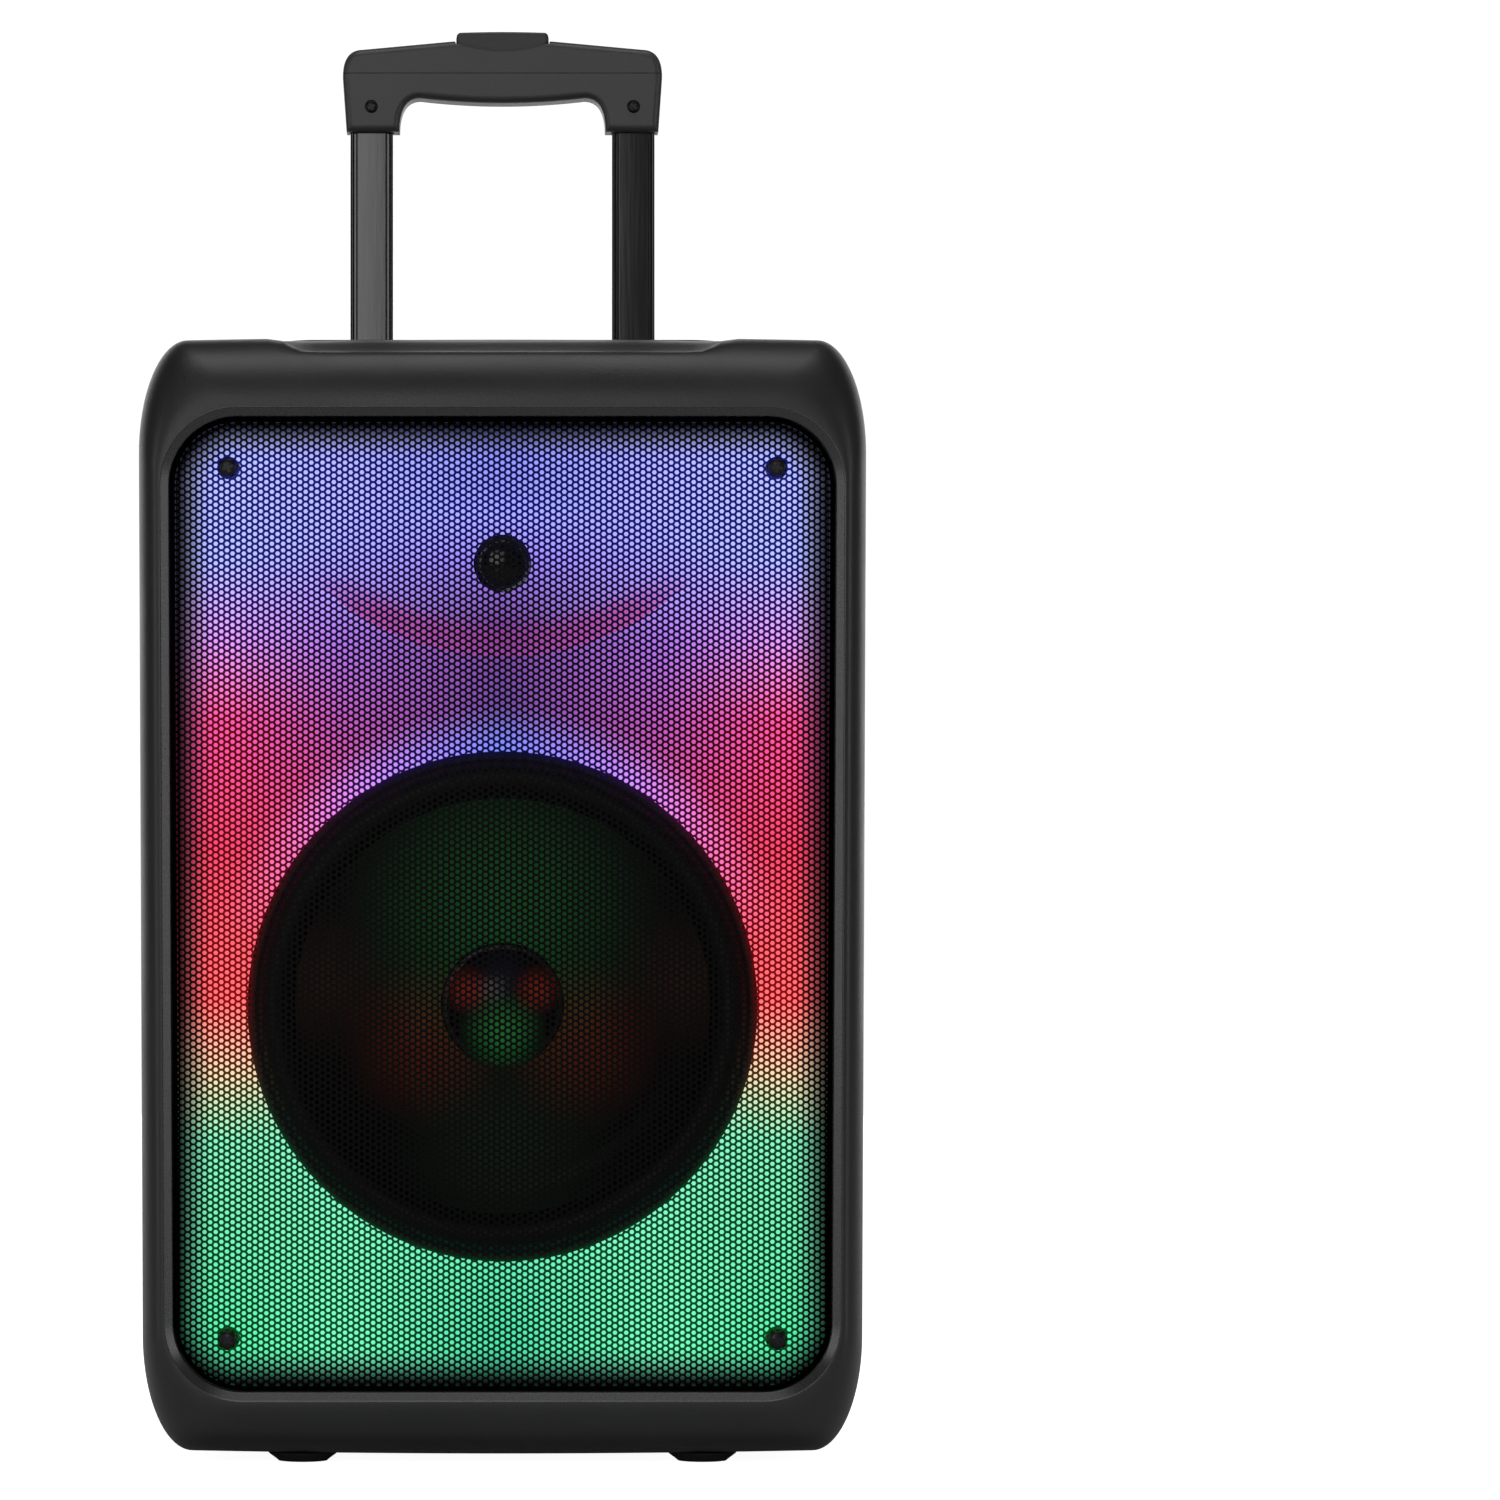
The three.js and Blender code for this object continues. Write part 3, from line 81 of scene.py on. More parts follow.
def startMaterial(name, **shaderSettings):
    material = bpy.data.materials.new(name)
    material.use_nodes = True
    tree = material.node_tree
    tree.nodes.clear()
    shader = addNode(tree, "ShaderNodeBsdfPrincipled", shaderSettings)
    addNode(tree, "ShaderNodeOutputMaterial", links={"Surface": shader.outputs["BSDF"]})
    place = addNode(tree, "ShaderNodeTexCoord").outputs["Object"]
    return material, tree, shader, place


def addRamp(tree, source, stops):
    ramp = addNode(tree, "ShaderNodeValToRGB", links={"Fac": source})
    elements = ramp.color_ramp.elements
    while len(elements) < len(stops):
        elements.new(0.5)
    for element, (position, colour) in zip(elements, stops):
        element.position = position
        element.color = colour
    return ramp.outputs["Color"]


# A grain of a given size in millimetres: it tints the base colour, varies the gloss and roughens the surface.
def addGrain(tree, shader, place, size, darker, lighter, gloss, bump, detail=2.0):
    speckle = addNode(tree, "ShaderNodeTexNoise", {"Scale": 1 / (size * mm), "Detail": detail},
                      {"Vector": place}).outputs["Fac"]
    cloud = addNode(tree, "ShaderNodeTexNoise", {"Scale": 1 / (60 * mm), "Detail": 3.0},
                    {"Vector": place}).outputs["Fac"]
    tone = addNode(tree, "ShaderNodeMath", {"operation": "MULTIPLY_ADD", 1: 0.5},
                   {0: speckle}).outputs[0]
    tree.links.new(addNode(tree, "ShaderNodeMath", {"operation": "MULTIPLY", 1: 0.5},
                           {0: cloud}).outputs[0], tone.node.inputs[2])
    tree.links.new(addRamp(tree, tone, [(0.35, linear(darker)), (0.65, linear(lighter))]),
                   shader.inputs["Base Color"])
    rough = addNode(tree, "ShaderNodeMapRange", {"From Min": 0.3, "From Max": 0.7, "To Min": gloss[0],
                                                 "To Max": gloss[1]}, {"Value": tone})
    tree.links.new(rough.outputs["Result"], shader.inputs["Roughness"])
    if bump:
        relief = addNode(tree, "ShaderNodeBump", {"Strength": bump, "Distance": size * mm * 0.3},
                         {"Height": speckle})
        tree.links.new(relief.outputs["Normal"], shader.inputs["Normal"])
    return speckle


# Black stove enamel over drawn steel tube: a deep gloss with a faint waviness along the tube.
def makeEnamelledTube():
    material, tree, shader, place = startMaterial("enamelledTube", IOR=1.4)
    stretched = addNode(tree, "ShaderNodeMapping", {"Scale": (1.0, 1.0, 0.05)}, {"Vector": place})
    addGrain(tree, shader, stretched.outputs["Vector"], 1.5, "#0a0a0b", "#111112", (0.1, 0.14), 0.02)
    return material


glow = {
    "edgeAt": 126.0,  # mm from the middle, where the light is that of the side strips
    "midAt": 75.0,
    # each band: the height in mm and the colour there
    "edge": [(60, "#4cd8a0"), (150, "#78d8b0"), (180, "#dcc8a4"), (215, "#ff666c"), (285, "#ea3a66"),
             (345, "#e84898"), (382, "#cc8ce0"), (420, "#a6aef2")],
    "mid": [(60, "#6ce2b4"), (160, "#74d8b4"), (180, "#c4b894"), (215, "#f05c68"), (285, "#d44080"),
            (345, "#ac48aa"), (382, "#9c64cc"), (430, "#a4a4f0")],
    "centre": [(60, "#3cc89c"), (110, "#60d8ac"), (160, "#68ccac"), (215, "#bc5468"), (330, "#583c90"),
               (390, "#6e3890"), (420, "#8c70dc"), (440, "#9c9ef2"), (460, "#8084e0")],
    "halo": "#456fb4",  # light that leaks round the woofer's rim
    "haloWide": 24.0,
    "strength": 1.36,
    "paintedShadeWidth": 18.0,  # painted shade darkens the light over this width inside the opening
}
horn = {"halfWide": 94.0, "halfTall": 43.0, "throat": 13.5, "deep": 17.0, "wall": 1.6, "lipDeep": 19.0,
        "lipPaintedLight": "#a92a70"}
opening = {"side": 14.9, "corner": 32.0, "band": 4.4, "bandDrop": 3.0}
grilleLow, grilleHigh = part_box("grille")
openingLow, openingHigh = grilleLow.z - 0.3 * mm, grilleHigh.z + 0.3 * mm
openingHalf = grilleHigh.x + 0.3 * mm
wooferCentre = nodeMiddle("woofer_surround")
surroundLow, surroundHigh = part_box("woofer_surround")
wooferRadius = (surroundHigh.x - surroundLow.x) / 2
hornCentre = nodeMiddle("tweeter_driver")


# The colour of the light behind the grille: bands by height, blended from the middle to the sides.
def addLedGlow(tree, place):
    axes = addNode(tree, "ShaderNodeSeparateXYZ", links={"Vector": place})
    height = addNode(tree, "ShaderNodeMapRange", {"From Min": openingLow, "From Max": openingHigh},
                     {"Value": axes.outputs["Z"]}).outputs["Result"]
    aside = addNode(tree, "ShaderNodeMath", {"operation": "ABSOLUTE"}, {0: axes.outputs["X"]}).outputs[0]
    span = (openingHigh - openingLow) / mm
    bands = {}
    for name in ("centre", "mid", "edge"):
        stops = [((z - openingLow / mm) / span, linear(colour)) for z, colour in glow[name]]
        bands[name] = addRamp(tree, height, stops)
    toMid = addNode(tree, "ShaderNodeMapRange", {"From Max": glow["midAt"] * mm}, {"Value": aside})
    toEdge = addNode(tree, "ShaderNodeMapRange", {"From Min": glow["midAt"] * mm,
                                                  "From Max": glow["edgeAt"] * mm}, {"Value": aside})
    inner = addNode(tree, "ShaderNodeMix", {"data_type": "RGBA"},
                    {0: toMid.outputs["Result"], 6: bands["centre"], 7: bands["mid"]}).outputs[2]
    whole = addNode(tree, "ShaderNodeMix", {"data_type": "RGBA"},
                    {0: toEdge.outputs["Result"], 6: inner, 7: bands["edge"]}).outputs[2]
    # the halo over the top of the woofer
    flat = addNode(tree, "ShaderNodeCombineXYZ", links={"X": axes.outputs["X"], "Z": axes.outputs["Z"]})
    away = addNode(tree, "ShaderNodeVectorMath", {"operation": "DISTANCE",
                                                  1: (0.0, 0.0, wooferCentre.z)}, {0: flat.outputs[0]})
    ring = addNode(tree, "ShaderNodeMapRange", {"interpolation_type": "SMOOTHSTEP", "From Min": wooferRadius,
                                                "From Max": wooferRadius + glow["haloWide"] * mm,
                                                "To Min": 1.0, "To Max": 0.0},
                   {"Value": away.outputs["Value"]})
    above = addNode(tree, "ShaderNodeMapRange", {"From Min": wooferCentre.z + 30 * mm,
                                                 "From Max": wooferCentre.z + 105 * mm},
                    {"Value": axes.outputs["Z"]})
    share = addNode(tree, "ShaderNodeMath", {"operation": "MULTIPLY"},
                    {0: ring.outputs["Result"], 1: above.outputs["Result"]}).outputs[0]
    haloed = addNode(tree, "ShaderNodeMix", {"data_type": "RGBA", "blend_type": "ADD",
                                             7: linear(glow["halo"])}, {0: share, 6: whole}).outputs[2]
    # painted shade: the light is darkened along the opening's edge
    corner = opening["corner"] * mm
    middle = (openingLow + openingHigh) / 2
    sideways = addNode(tree, "ShaderNodeMath", {"operation": "SUBTRACT", 1: openingHalf - corner},
                       {0: aside}).outputs[0]
    off = addNode(tree, "ShaderNodeMath", {"operation": "SUBTRACT", 1: middle},
                  {0: axes.outputs["Z"]}).outputs[0]
    off = addNode(tree, "ShaderNodeMath", {"operation": "ABSOLUTE"}, {0: off}).outputs[0]
    upward = addNode(tree, "ShaderNodeMath", {"operation": "SUBTRACT",
                                              1: (openingHigh - openingLow) / 2 - corner},
                     {0: off}).outputs[0]
    over = addNode(tree, "ShaderNodeCombineXYZ", links={"X": sideways, "Y": upward}).outputs[0]
    beyond = addNode(tree, "ShaderNodeVectorMath", {"operation": "MAXIMUM", 1: (0.0, 0.0, 0.0)}, {0: over})
    length = addNode(tree, "ShaderNodeVectorMath", {"operation": "LENGTH"}, {0: beyond.outputs[0]})
    higher = addNode(tree, "ShaderNodeMath", {"operation": "MAXIMUM"}, {0: sideways, 1: upward}).outputs[0]
    inside = addNode(tree, "ShaderNodeMath", {"operation": "MINIMUM", 1: 0.0}, {0: higher}).outputs[0]
    edge = addNode(tree, "ShaderNodeMath", {"operation": "ADD"}, {0: length.outputs["Value"], 1: inside})
    lit = addNode(tree, "ShaderNodeMapRange", {"interpolation_type": "SMOOTHSTEP",
                                               "From Min": corner - 3 * mm,
                                               "From Max": corner - (3 + glow["paintedShadeWidth"]) * mm},
                  {"Value": edge.outputs[0]})
    return addNode(tree, "ShaderNodeMix", {"data_type": "RGBA", "blend_type": "MULTIPLY", 0: 1.0},
                   {6: haloed, 7: lit.outputs["Result"]}).outputs[2]


# Milky polycarbonate with LEDs behind it: it glows evenly, and each colour runs softly into the next.
def makeLitPolycarbonate():
    material, tree, shader, place = startMaterial("litPolycarbonate", Roughness=0.5, IOR=1.58,
                                                  **{"Emission Strength": glow["strength"]})
    addGrain(tree, shader, place, 3.0, "#2a2a2c", "#333336", (0.45, 0.55), 0.0)
    tree.links.new(addLedGlow(tree, place), shader.inputs["Emission Color"])
    return material


# The same polycarbonate in the horn; its lower lip is painted crimson, painted light standing in for the
# strips' red light that falls on it.
def makeLitHorn():
    material, tree, shader, place = startMaterial("litHorn", Roughness=0.5, IOR=1.58,
                                                  **{"Emission Strength": glow["strength"] * 0.96})
    addGrain(tree, shader, place, 3.0, "#2a2a2c", "#333336", (0.45, 0.55), 0.0)
    halfWide, halfTall = horn["halfWide"] * mm, horn["halfTall"] * mm
    radius = (halfWide ** 2 + halfTall ** 2) / (2 * halfTall)
    axes = addNode(tree, "ShaderNodeSeparateXYZ", links={"Vector": place})
    flat = addNode(tree, "ShaderNodeCombineXYZ", links={"X": axes.outputs["X"], "Z": axes.outputs["Z"]})
    away = addNode(tree, "ShaderNodeVectorMath", {"operation": "DISTANCE",
                                                  1: (0.0, 0.0, hornCentre.z + radius - halfTall)},
                   {0: flat.outputs[0]})
    # where the painted crimson light lies: near the lower arc, low in the horn, stronger towards the ends
    near = addNode(tree, "ShaderNodeMapRange", {"interpolation_type": "SMOOTHSTEP",
                                                "From Min": radius - horn["lipDeep"] * mm,
                                                "From Max": radius - horn["lipDeep"] * 0.4 * mm},
                   {"Value": away.outputs["Value"]})
    lower = addNode(tree, "ShaderNodeMapRange", {"From Min": hornCentre.z - 4 * mm,
                                                 "From Max": hornCentre.z - 22 * mm},
                    {"Value": axes.outputs["Z"]})
    share = addNode(tree, "ShaderNodeMath", {"operation": "MULTIPLY"},
                    {0: near.outputs["Result"], 1: lower.outputs["Result"]}).outputs[0]
    aside = addNode(tree, "ShaderNodeMath", {"operation": "ABSOLUTE"}, {0: axes.outputs["X"]}).outputs[0]
    ends = addNode(tree, "ShaderNodeMapRange", {"From Max": 62 * mm, "To Min": 0.3, "To Max": 0.72},
                   {"Value": aside}).outputs["Result"]
    share = addNode(tree, "ShaderNodeMath", {"operation": "MULTIPLY"}, {0: share, 1: ends}).outputs[0]
    mixed = addNode(tree, "ShaderNodeMix", {"data_type": "RGBA", 7: linear(horn["lipPaintedLight"])},
                    {0: share, 6: addLedGlow(tree, place)}).outputs[2]
    tree.links.new(mixed, shader.inputs["Emission Color"])
    return material


# Powder-coated perforated steel: black, with an orange-peel skin, and a painted glow in the LED colours
# standing in for the light it picks up from behind.
def makePowderCoatedSteel(name, lit, shine):
    material, tree, shader, place = startMaterial(name, IOR=1.5, **{"Emission Strength": lit,
                                                                    "Specular IOR Level": shine})
    addGrain(tree, shader, place, 0.7, "#020202", "#050505", (0.34, 0.46), 0.2)
    deep = addNode(tree, "ShaderNodeGamma", {"Gamma": 4.0}, {"Color": addLedGlow(tree, place)})
    axes = addNode(tree, "ShaderNodeSeparateXYZ", links={"Vector": place})
    flat = addNode(tree, "ShaderNodeCombineXYZ", links={"X": axes.outputs["X"], "Z": axes.outputs["Z"]})
    masked = deep.outputs["Color"]
    # the painted glow is masked off in front of the woofer and the tweeter
    for z, radius in ((wooferCentre.z, wooferRadius), (hornCentre.z, horn["throat"] * mm)):
        away = addNode(tree, "ShaderNodeVectorMath", {"operation": "DISTANCE", 1: (0.0, 0.0, z)},
                       {0: flat.outputs[0]})
        clear = addNode(tree, "ShaderNodeMapRange",
                        {"interpolation_type": "SMOOTHSTEP", "From Min": radius - 4 * mm,
                         "From Max": radius + 3 * mm}, {"Value": away.outputs["Value"]})
        masked = addNode(tree, "ShaderNodeMix", {"data_type": "RGBA", "blend_type": "MULTIPLY", 0: 1.0},
                         {6: masked, 7: clear.outputs["Result"]}).outputs[2]
    tree.links.new(masked, shader.inputs["Emission Color"])
    return material


# One moulded, drawn, woven or coated surface that needs no more than its grain.
def makeGrained(name, size, darker, lighter, gloss, bump, detail=2.0, **shaderSettings):
    material, tree, shader, place = startMaterial(name, **shaderSettings)
    addGrain(tree, shader, place, size, darker, lighter, gloss, bump, detail)
    return material


# Moulded ABS off a spark-eroded tool: black, satin, with a fine even grain that breaks up the highlights.
sparkErodedAbs = makeGrained("sparkErodedAbs", 0.8, "#121213", "#1b1b1c", (0.38, 0.5), 0.35, IOR=1.52)
# Moulded ABS off a stoned tool: smoother than the cabinet, so it mirrors the light a little.
smoothAbs = makeGrained("smoothAbs", 0.5, "#0d0d0e", "#141415", (0.26, 0.34), 0.08, IOR=1.52)
# The bevel round the opening comes off a polished part of the tool and is glossier; its base colour is set
# lighter than the cabinet's as a painted highlight for the light the bevel catches.
satinBandPaintedHighlight = makeGrained("satinBandPaintedHighlight", 0.5, "#2a2a2b", "#303031", (0.24, 0.3), 0.08, IOR=1.52)
# Thermoplastic rubber, soft and matt, with the powdery bloom that dust gives it.
mattRubber = makeGrained("mattRubber", 1.2, "#0e0e0e", "#191919", (0.68, 0.82), 0.4, 3.0, IOR=1.5,
                         **{"Specular IOR Level": 0.35})
# Steel with black oxide from a hot bath: nearly black, with a dull metal glint.
blackOxideSteel = makeGrained("blackOxideSteel", 0.4, "#202022", "#2c2c2f", (0.3, 0.42), 0.1, Metallic=0.85)
# Zinc-plated steel: bright, bluish grey, with the clouding of the bath.
zincPlatedSteel = makeGrained("zincPlatedSteel", 0.6, "#9a9da2", "#c4c7cc", (0.22, 0.36), 0.1, Metallic=1.0)
# Gloss ABS knobs: near-black, with a bright clean reflection and a few fine handling marks.
glossAbs = makeGrained("glossAbs", 2.0, "#0a0a0b", "#0f0f10", (0.08, 0.16), 0.02, IOR=1.53)
# Key caps: dark grey and softly matt, so they stand off the darker tray.
keyAbs = makeGrained("keyAbs", 0.6, "#202023", "#29292c", (0.42, 0.5), 0.15, IOR=1.52)
# Soft-touch grip: satin, slightly lighter than the cabinet, with an even fine grain.
gripAbs = makeGrained("gripAbs", 0.7, "#333335", "#3d3d3f", (0.4, 0.5), 0.3, IOR=1.5)
# The release button's plastic: as satin as the grip but a shade darker, so its edge reads.
padAbs = makeGrained("padAbs", 0.6, "#28282a", "#303032", (0.42, 0.52), 0.25, IOR=1.5)
# White pad-printing ink: matt and slightly uneven at the edge of each dot.
padInk = makeGrained("padInk", 0.3, "#b9b9b9", "#d6d6d6", (0.5, 0.6), 0.0)
# Smoked acrylic: glass-smooth, so it mirrors the room over its dark tint.
smokedAcrylic = makeGrained("smokedAcrylic", 3.0, "#050507", "#08080b", (0.03, 0.06), 0.0, IOR=1.49)


# Glossy polypropylene: wet-looking, with a slight swirl; soft patches of glow over it are painted reflections
# of the lit panel.
def makeGlossPolypropylene(name, paintedReflections):
    material, tree, shader, place = startMaterial(name, IOR=1.4, **{"Emission Strength": 1.0})
    addGrain(tree, shader, place, 4.0, "#040504", "#070807", (0.2, 0.3), 0.03)
    axes = addNode(tree, "ShaderNodeSeparateXYZ", links={"Vector": place})
    aside = addNode(tree, "ShaderNodeMath", {"operation": "ABSOLUTE"}, {0: axes.outputs["X"]}).outputs[0]
    flat = addNode(tree, "ShaderNodeCombineXYZ", links={"X": aside, "Z": axes.outputs["Z"]}).outputs[0]
    total = None
    for x, z, reach, colour in paintedReflections:
        middle = (x * mm, 0.0, wooferCentre.z + z * mm)
        away = addNode(tree, "ShaderNodeVectorMath", {"operation": "DISTANCE", 1: middle}, {0: flat})
        near = addNode(tree, "ShaderNodeMapRange", {"interpolation_type": "SMOOTHSTEP",
                                                    "From Min": reach * mm,
                                                    "From Max": 0.0}, {"Value": away.outputs["Value"]})
        patch = addNode(tree, "ShaderNodeMix", {"data_type": "RGBA", 6: (0, 0, 0, 1), 7: linear(colour)},
                        {0: near.outputs["Result"]}).outputs[2]
        total = patch if total is None else addNode(
            tree, "ShaderNodeMix", {"data_type": "RGBA", "blend_type": "ADD", 0: 1.0},
            {6: total, 7: patch}).outputs[2]
    tree.links.new(total, shader.inputs["Emission Color"])
    return material


# painted reflections, each: x either side of the middle, z from the middle, reach in mm, colour
conePolypropylene = makeGlossPolypropylene("conePolypropylene",
                                           [(0, 42, 80, "#123f1c"), (36, -18, 44, "#3a130a"),
                                                                 (82, 10, 40, "#1c0c06"),
                                                                 (0, -62, 60, "#0d1a10")])
# the dust cap's painted reflections of the lit panel
capPolypropylene = makeGlossPolypropylene("capPolypropylene",
                                          [(16, 7, 13, "#5c1710"), (0, -13, 22, "#165a26"),
                                                               (0, 14, 16, "#0c0a16")])
# Butyl rubber surround: semi-matt and smooth where it flexes.
butylRubber = makeGrained("butylRubber", 1.0, "#060606", "#0b0b0b", (0.42, 0.55), 0.1, IOR=1.4)
# Tyre rubber: matt, with the grey bloom of floor dust.
tyreRubber = makeGrained("tyreRubber", 0.9, "#121212", "#1f1f1f", (0.7, 0.85), 0.4)
# Black enamel on pressed steel: the woofer's basket, a little rough from the press.
enamelledSteel = makeGrained("enamelledSteel", 0.8, "#131314", "#1c1c1e", (0.35, 0.48), 0.15)
# Ferrite, fired and ground: slate grey and gritty.
groundFerrite = makeGrained("groundFerrite", 0.4, "#2c2d2f", "#414246", (0.6, 0.75), 0.3)
# Phenolic-dipped cotton: amber, with the weave standing out.
phenolicCotton = makeGrained("phenolicCotton", 0.6, "#8a6526", "#b78a44", (0.75, 0.9), 0.8)
# Enamelled copper wire: orange metal under a thin glossy varnish.
enamelledCopper = makeGrained("enamelledCopper", 0.3, "#a4552c", "#c9794a", (0.25, 0.38), 0.3, Metallic=1.0)
# Medium-density fibreboard, stained dark: dull, with short felted fibres.
stainedFibreboard = makeGrained("stainedFibreboard", 0.9, "#1a1613", "#2e2621", (0.75, 0.88), 0.5)
# Solder mask on glass epoxy: green lacquer, glossy over faint tracks.
solderMask = makeGrained("solderMask", 1.2, "#0f4a2a", "#1a6a3d", (0.28, 0.4), 0.1)
# Heat-shrunk PVC round the cells: blue, with tight shiny wrinkles.
shrunkPvc = makeGrained("shrunkPvc", 3.0, "#17418a", "#2259ae", (0.24, 0.38), 0.25)

enamelledTube = makeEnamelledTube()
litPolycarbonate = makeLitPolycarbonate()
litHorn = makeLitHorn()
powderCoatedSteelPaintedGlow = makePowderCoatedSteel("powderCoatedSteelPaintedGlow", 0.25, 0.06)
powderCoatedRimPaintedGlow = makePowderCoatedSteel("powderCoatedRimPaintedGlow", 0.02, 0.4)  # the unpierced edge is more reflective and carries only a trace of the painted glow
print("materials made")


def makePiece(name, points, faces, materials, smoothBelow=35.0, slots=None):
    mesh = bpy.data.meshes.new(name)
    mesh.from_pydata([tuple(p) for p in points], [], faces)
    for material in (materials if isinstance(materials, list) else [materials]):
        mesh.materials.append(material)
    if slots is not None:
        mesh.polygons.foreach_set("material_index", slots)
    finishMesh(mesh, smoothBelow)
    piece = bpy.data.objects.new(name, mesh)
    bpy.context.scene.collection.objects.link(piece)
    return piece


# Closes up doubled points, turns every face outwards and smooths what is rounder than an angle.
def finishMesh(mesh, smoothBelow):
    shape = bmesh.new()
    shape.from_mesh(mesh)
    bmesh.ops.remove_doubles(shape, verts=shape.verts, dist=1e-6)
    many = [face for face in shape.faces if len(face.verts) > 4]
    bmesh.ops.triangulate(shape, faces=many, ngon_method="EAR_CLIP")
    bmesh.ops.recalc_face_normals(shape, faces=shape.faces)
    shape.to_mesh(mesh)
    shape.free()
    mesh.shade_smooth()
    mesh.set_sharp_from_angle(angle=math.radians(smoothBelow))


def settle(piece, body, slotName, *nodes):
    if len(piece.data.polygons) < 60000:  # large faces keep their own direction beside small bevels
        piece.modifiers.new("even", "WEIGHTED_NORMAL").keep_sharp = True
    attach(piece, body)
    if nodes:
        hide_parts(*nodes)
    return piece


# Faces between rings of equally many points, each ring closed on itself.
def ringFaces(rings, count, closed=False):
    faces = []
    for r in range(rings if closed else rings - 1):
        near, far = r * count, ((r + 1) % rings) * count
        for i in range(count):
            j = (i + 1) % count
            faces.append((near + i, near + j, far + j, far + i))
    return faces


def loft(name, rings, material, capped=True, closed=False, smoothBelow=35.0, slots=None):
    rings = [np.asarray(ring, float) for ring in rings]
    count = len(rings[0])
    faces = ringFaces(len(rings), count, closed)
    if capped and not closed:
        faces.append(tuple(range(count))[::-1])
        faces.append(tuple(range((len(rings) - 1) * count, len(rings) * count)))
    return makePiece(name, np.concatenate(rings), faces, material, smoothBelow, slots)


# A piece turned about an axis through a middle, from (radius, along) pairs in metres.
def turned(name, profile, middle, axis, material, sides=64, closed=False, smoothBelow=35.0):
    angles = np.arange(sides) * 2 * math.pi / sides
    along = Vector(axis)
    across = along.orthogonal().normalized()
    other = along.cross(across)
    rings = []
    for radius, distance in profile:
        ring = [Vector(middle) + along * distance + (across * math.cos(a) + other * math.sin(a)) * radius
                for a in angles]
        rings.append(ring)
    return loft(name, rings, material, capped=not closed, closed=closed, smoothBelow=smoothBelow)


def arc(cx, cy, radius, fromAngle, toAngle, steps=8):
    angles = np.radians(np.linspace(fromAngle, toAngle, steps + 1))
    return [(cx + radius * math.cos(a), cy + radius * math.sin(a)) for a in angles]


def roundRectangle(width, height, radius, x=0.0, y=0.0, steps=8):
    points = []
    for sx, sy, start in ((1, 1, 0), (-1, 1, 90), (-1, -1, 180), (1, -1, 270)):
        points += arc(x + sx * (width / 2 - radius), y + sy * (height / 2 - radius), radius,
                      start, start + 90, steps)
    return points


def circleOutline(radius, x, z, steps=96):
    return np.array([(x + radius * math.cos(a), z + radius * math.sin(a))
                     for a in np.arange(steps) * 2 * math.pi / steps])


# A slab over an outline drawn in two directions, with both rims rounded off.
def slab(name, outline, low, high, material, round=0.0, plane="xy", smoothBelow=35.0, steps=4):
    outline = np.asarray(outline, float)
    edge = np.roll(outline, -1, 0) - outline
    ahead = np.stack([edge[:, 1], -edge[:, 0]], 1)
    ahead /= np.maximum(np.linalg.norm(ahead, axis=1, keepdims=True), 1e-9)
    behind = np.roll(ahead, 1, 0)
    normal = (ahead + behind) / np.maximum(1 + (ahead * behind).sum(1, keepdims=True), 0.3)  # mitred corners
    levels = []
    for i in range(steps + 1) if round else ():
        a = math.pi / 2 * i / steps
        levels.append((low + round * (1 - math.sin(a)), round * (1 - math.cos(a))))
    levels = levels[::-1] + [(low + high - z, inset) for z, inset in levels] if round else [(low, 0),
                                                                                            (high, 0)]
    rings = []
    for level, inset in levels:
        flat = outline - normal * inset
        if plane == "xy":
            rings.append(np.column_stack([flat[:, 0], flat[:, 1], np.full(len(flat), level)]))
        else:
            rings.append(np.column_stack([flat[:, 0], np.full(len(flat), level), flat[:, 1]]))
    return loft(name, rings, material, smoothBelow=smoothBelow)


def joinPieces(name, pieces, smoothBelow=35.0):
    shape = bmesh.new()
    mesh = bpy.data.meshes.new(name)
    for piece in pieces:
        for material in piece.data.materials:
            if material.name not in [m.name for m in mesh.materials]:
                mesh.materials.append(material)
    order = [m.name for m in mesh.materials]
    for piece in pieces:
        faceCount = len(shape.faces)
        own = [order.index(m.name) for m in piece.data.materials]
        shape.from_mesh(piece.data)
        shape.faces.ensure_lookup_table()
        for face in shape.faces[faceCount:]:
            face.material_index = own[face.material_index]
        bpy.data.objects.remove(piece)
    shape.to_mesh(mesh)
    shape.free()
    mesh.shade_smooth()
    mesh.set_sharp_from_angle(angle=math.radians(smoothBelow))
    whole = bpy.data.objects.new(name, mesh)
    bpy.context.scene.collection.objects.link(whole)
    return whole


# Cuts tools out of a piece for good, or joins them to it.
def carve(piece, tools, operation="DIFFERENCE", smoothBelow=35.0):
    for tool in tools:
        change = piece.modifiers.new("cut", "BOOLEAN")
        change.operation = operation
        change.solver = "EXACT"
        change.object = tool
    graph = bpy.context.evaluated_depsgraph_get()
    piece.data = bpy.data.meshes.new_from_object(piece.evaluated_get(graph))
    piece.modifiers.clear()
    for tool in tools:
        bpy.data.objects.remove(tool)
    piece.data.shade_smooth()
    piece.data.set_sharp_from_angle(angle=math.radians(smoothBelow))
    return piece


studio = {
    "distance": 4.0,  # from the cabinet's face
    "eyeHeight": 0.331,
    "lens": 208.03,
    "shift": 0.165,
    "floor": "#f4f4f4",
    "room": 0.1,  # light from the white room all round
    "floorGlow": 0.95,  # the paper is lit from below, so only a trace of shadow is left on it
}


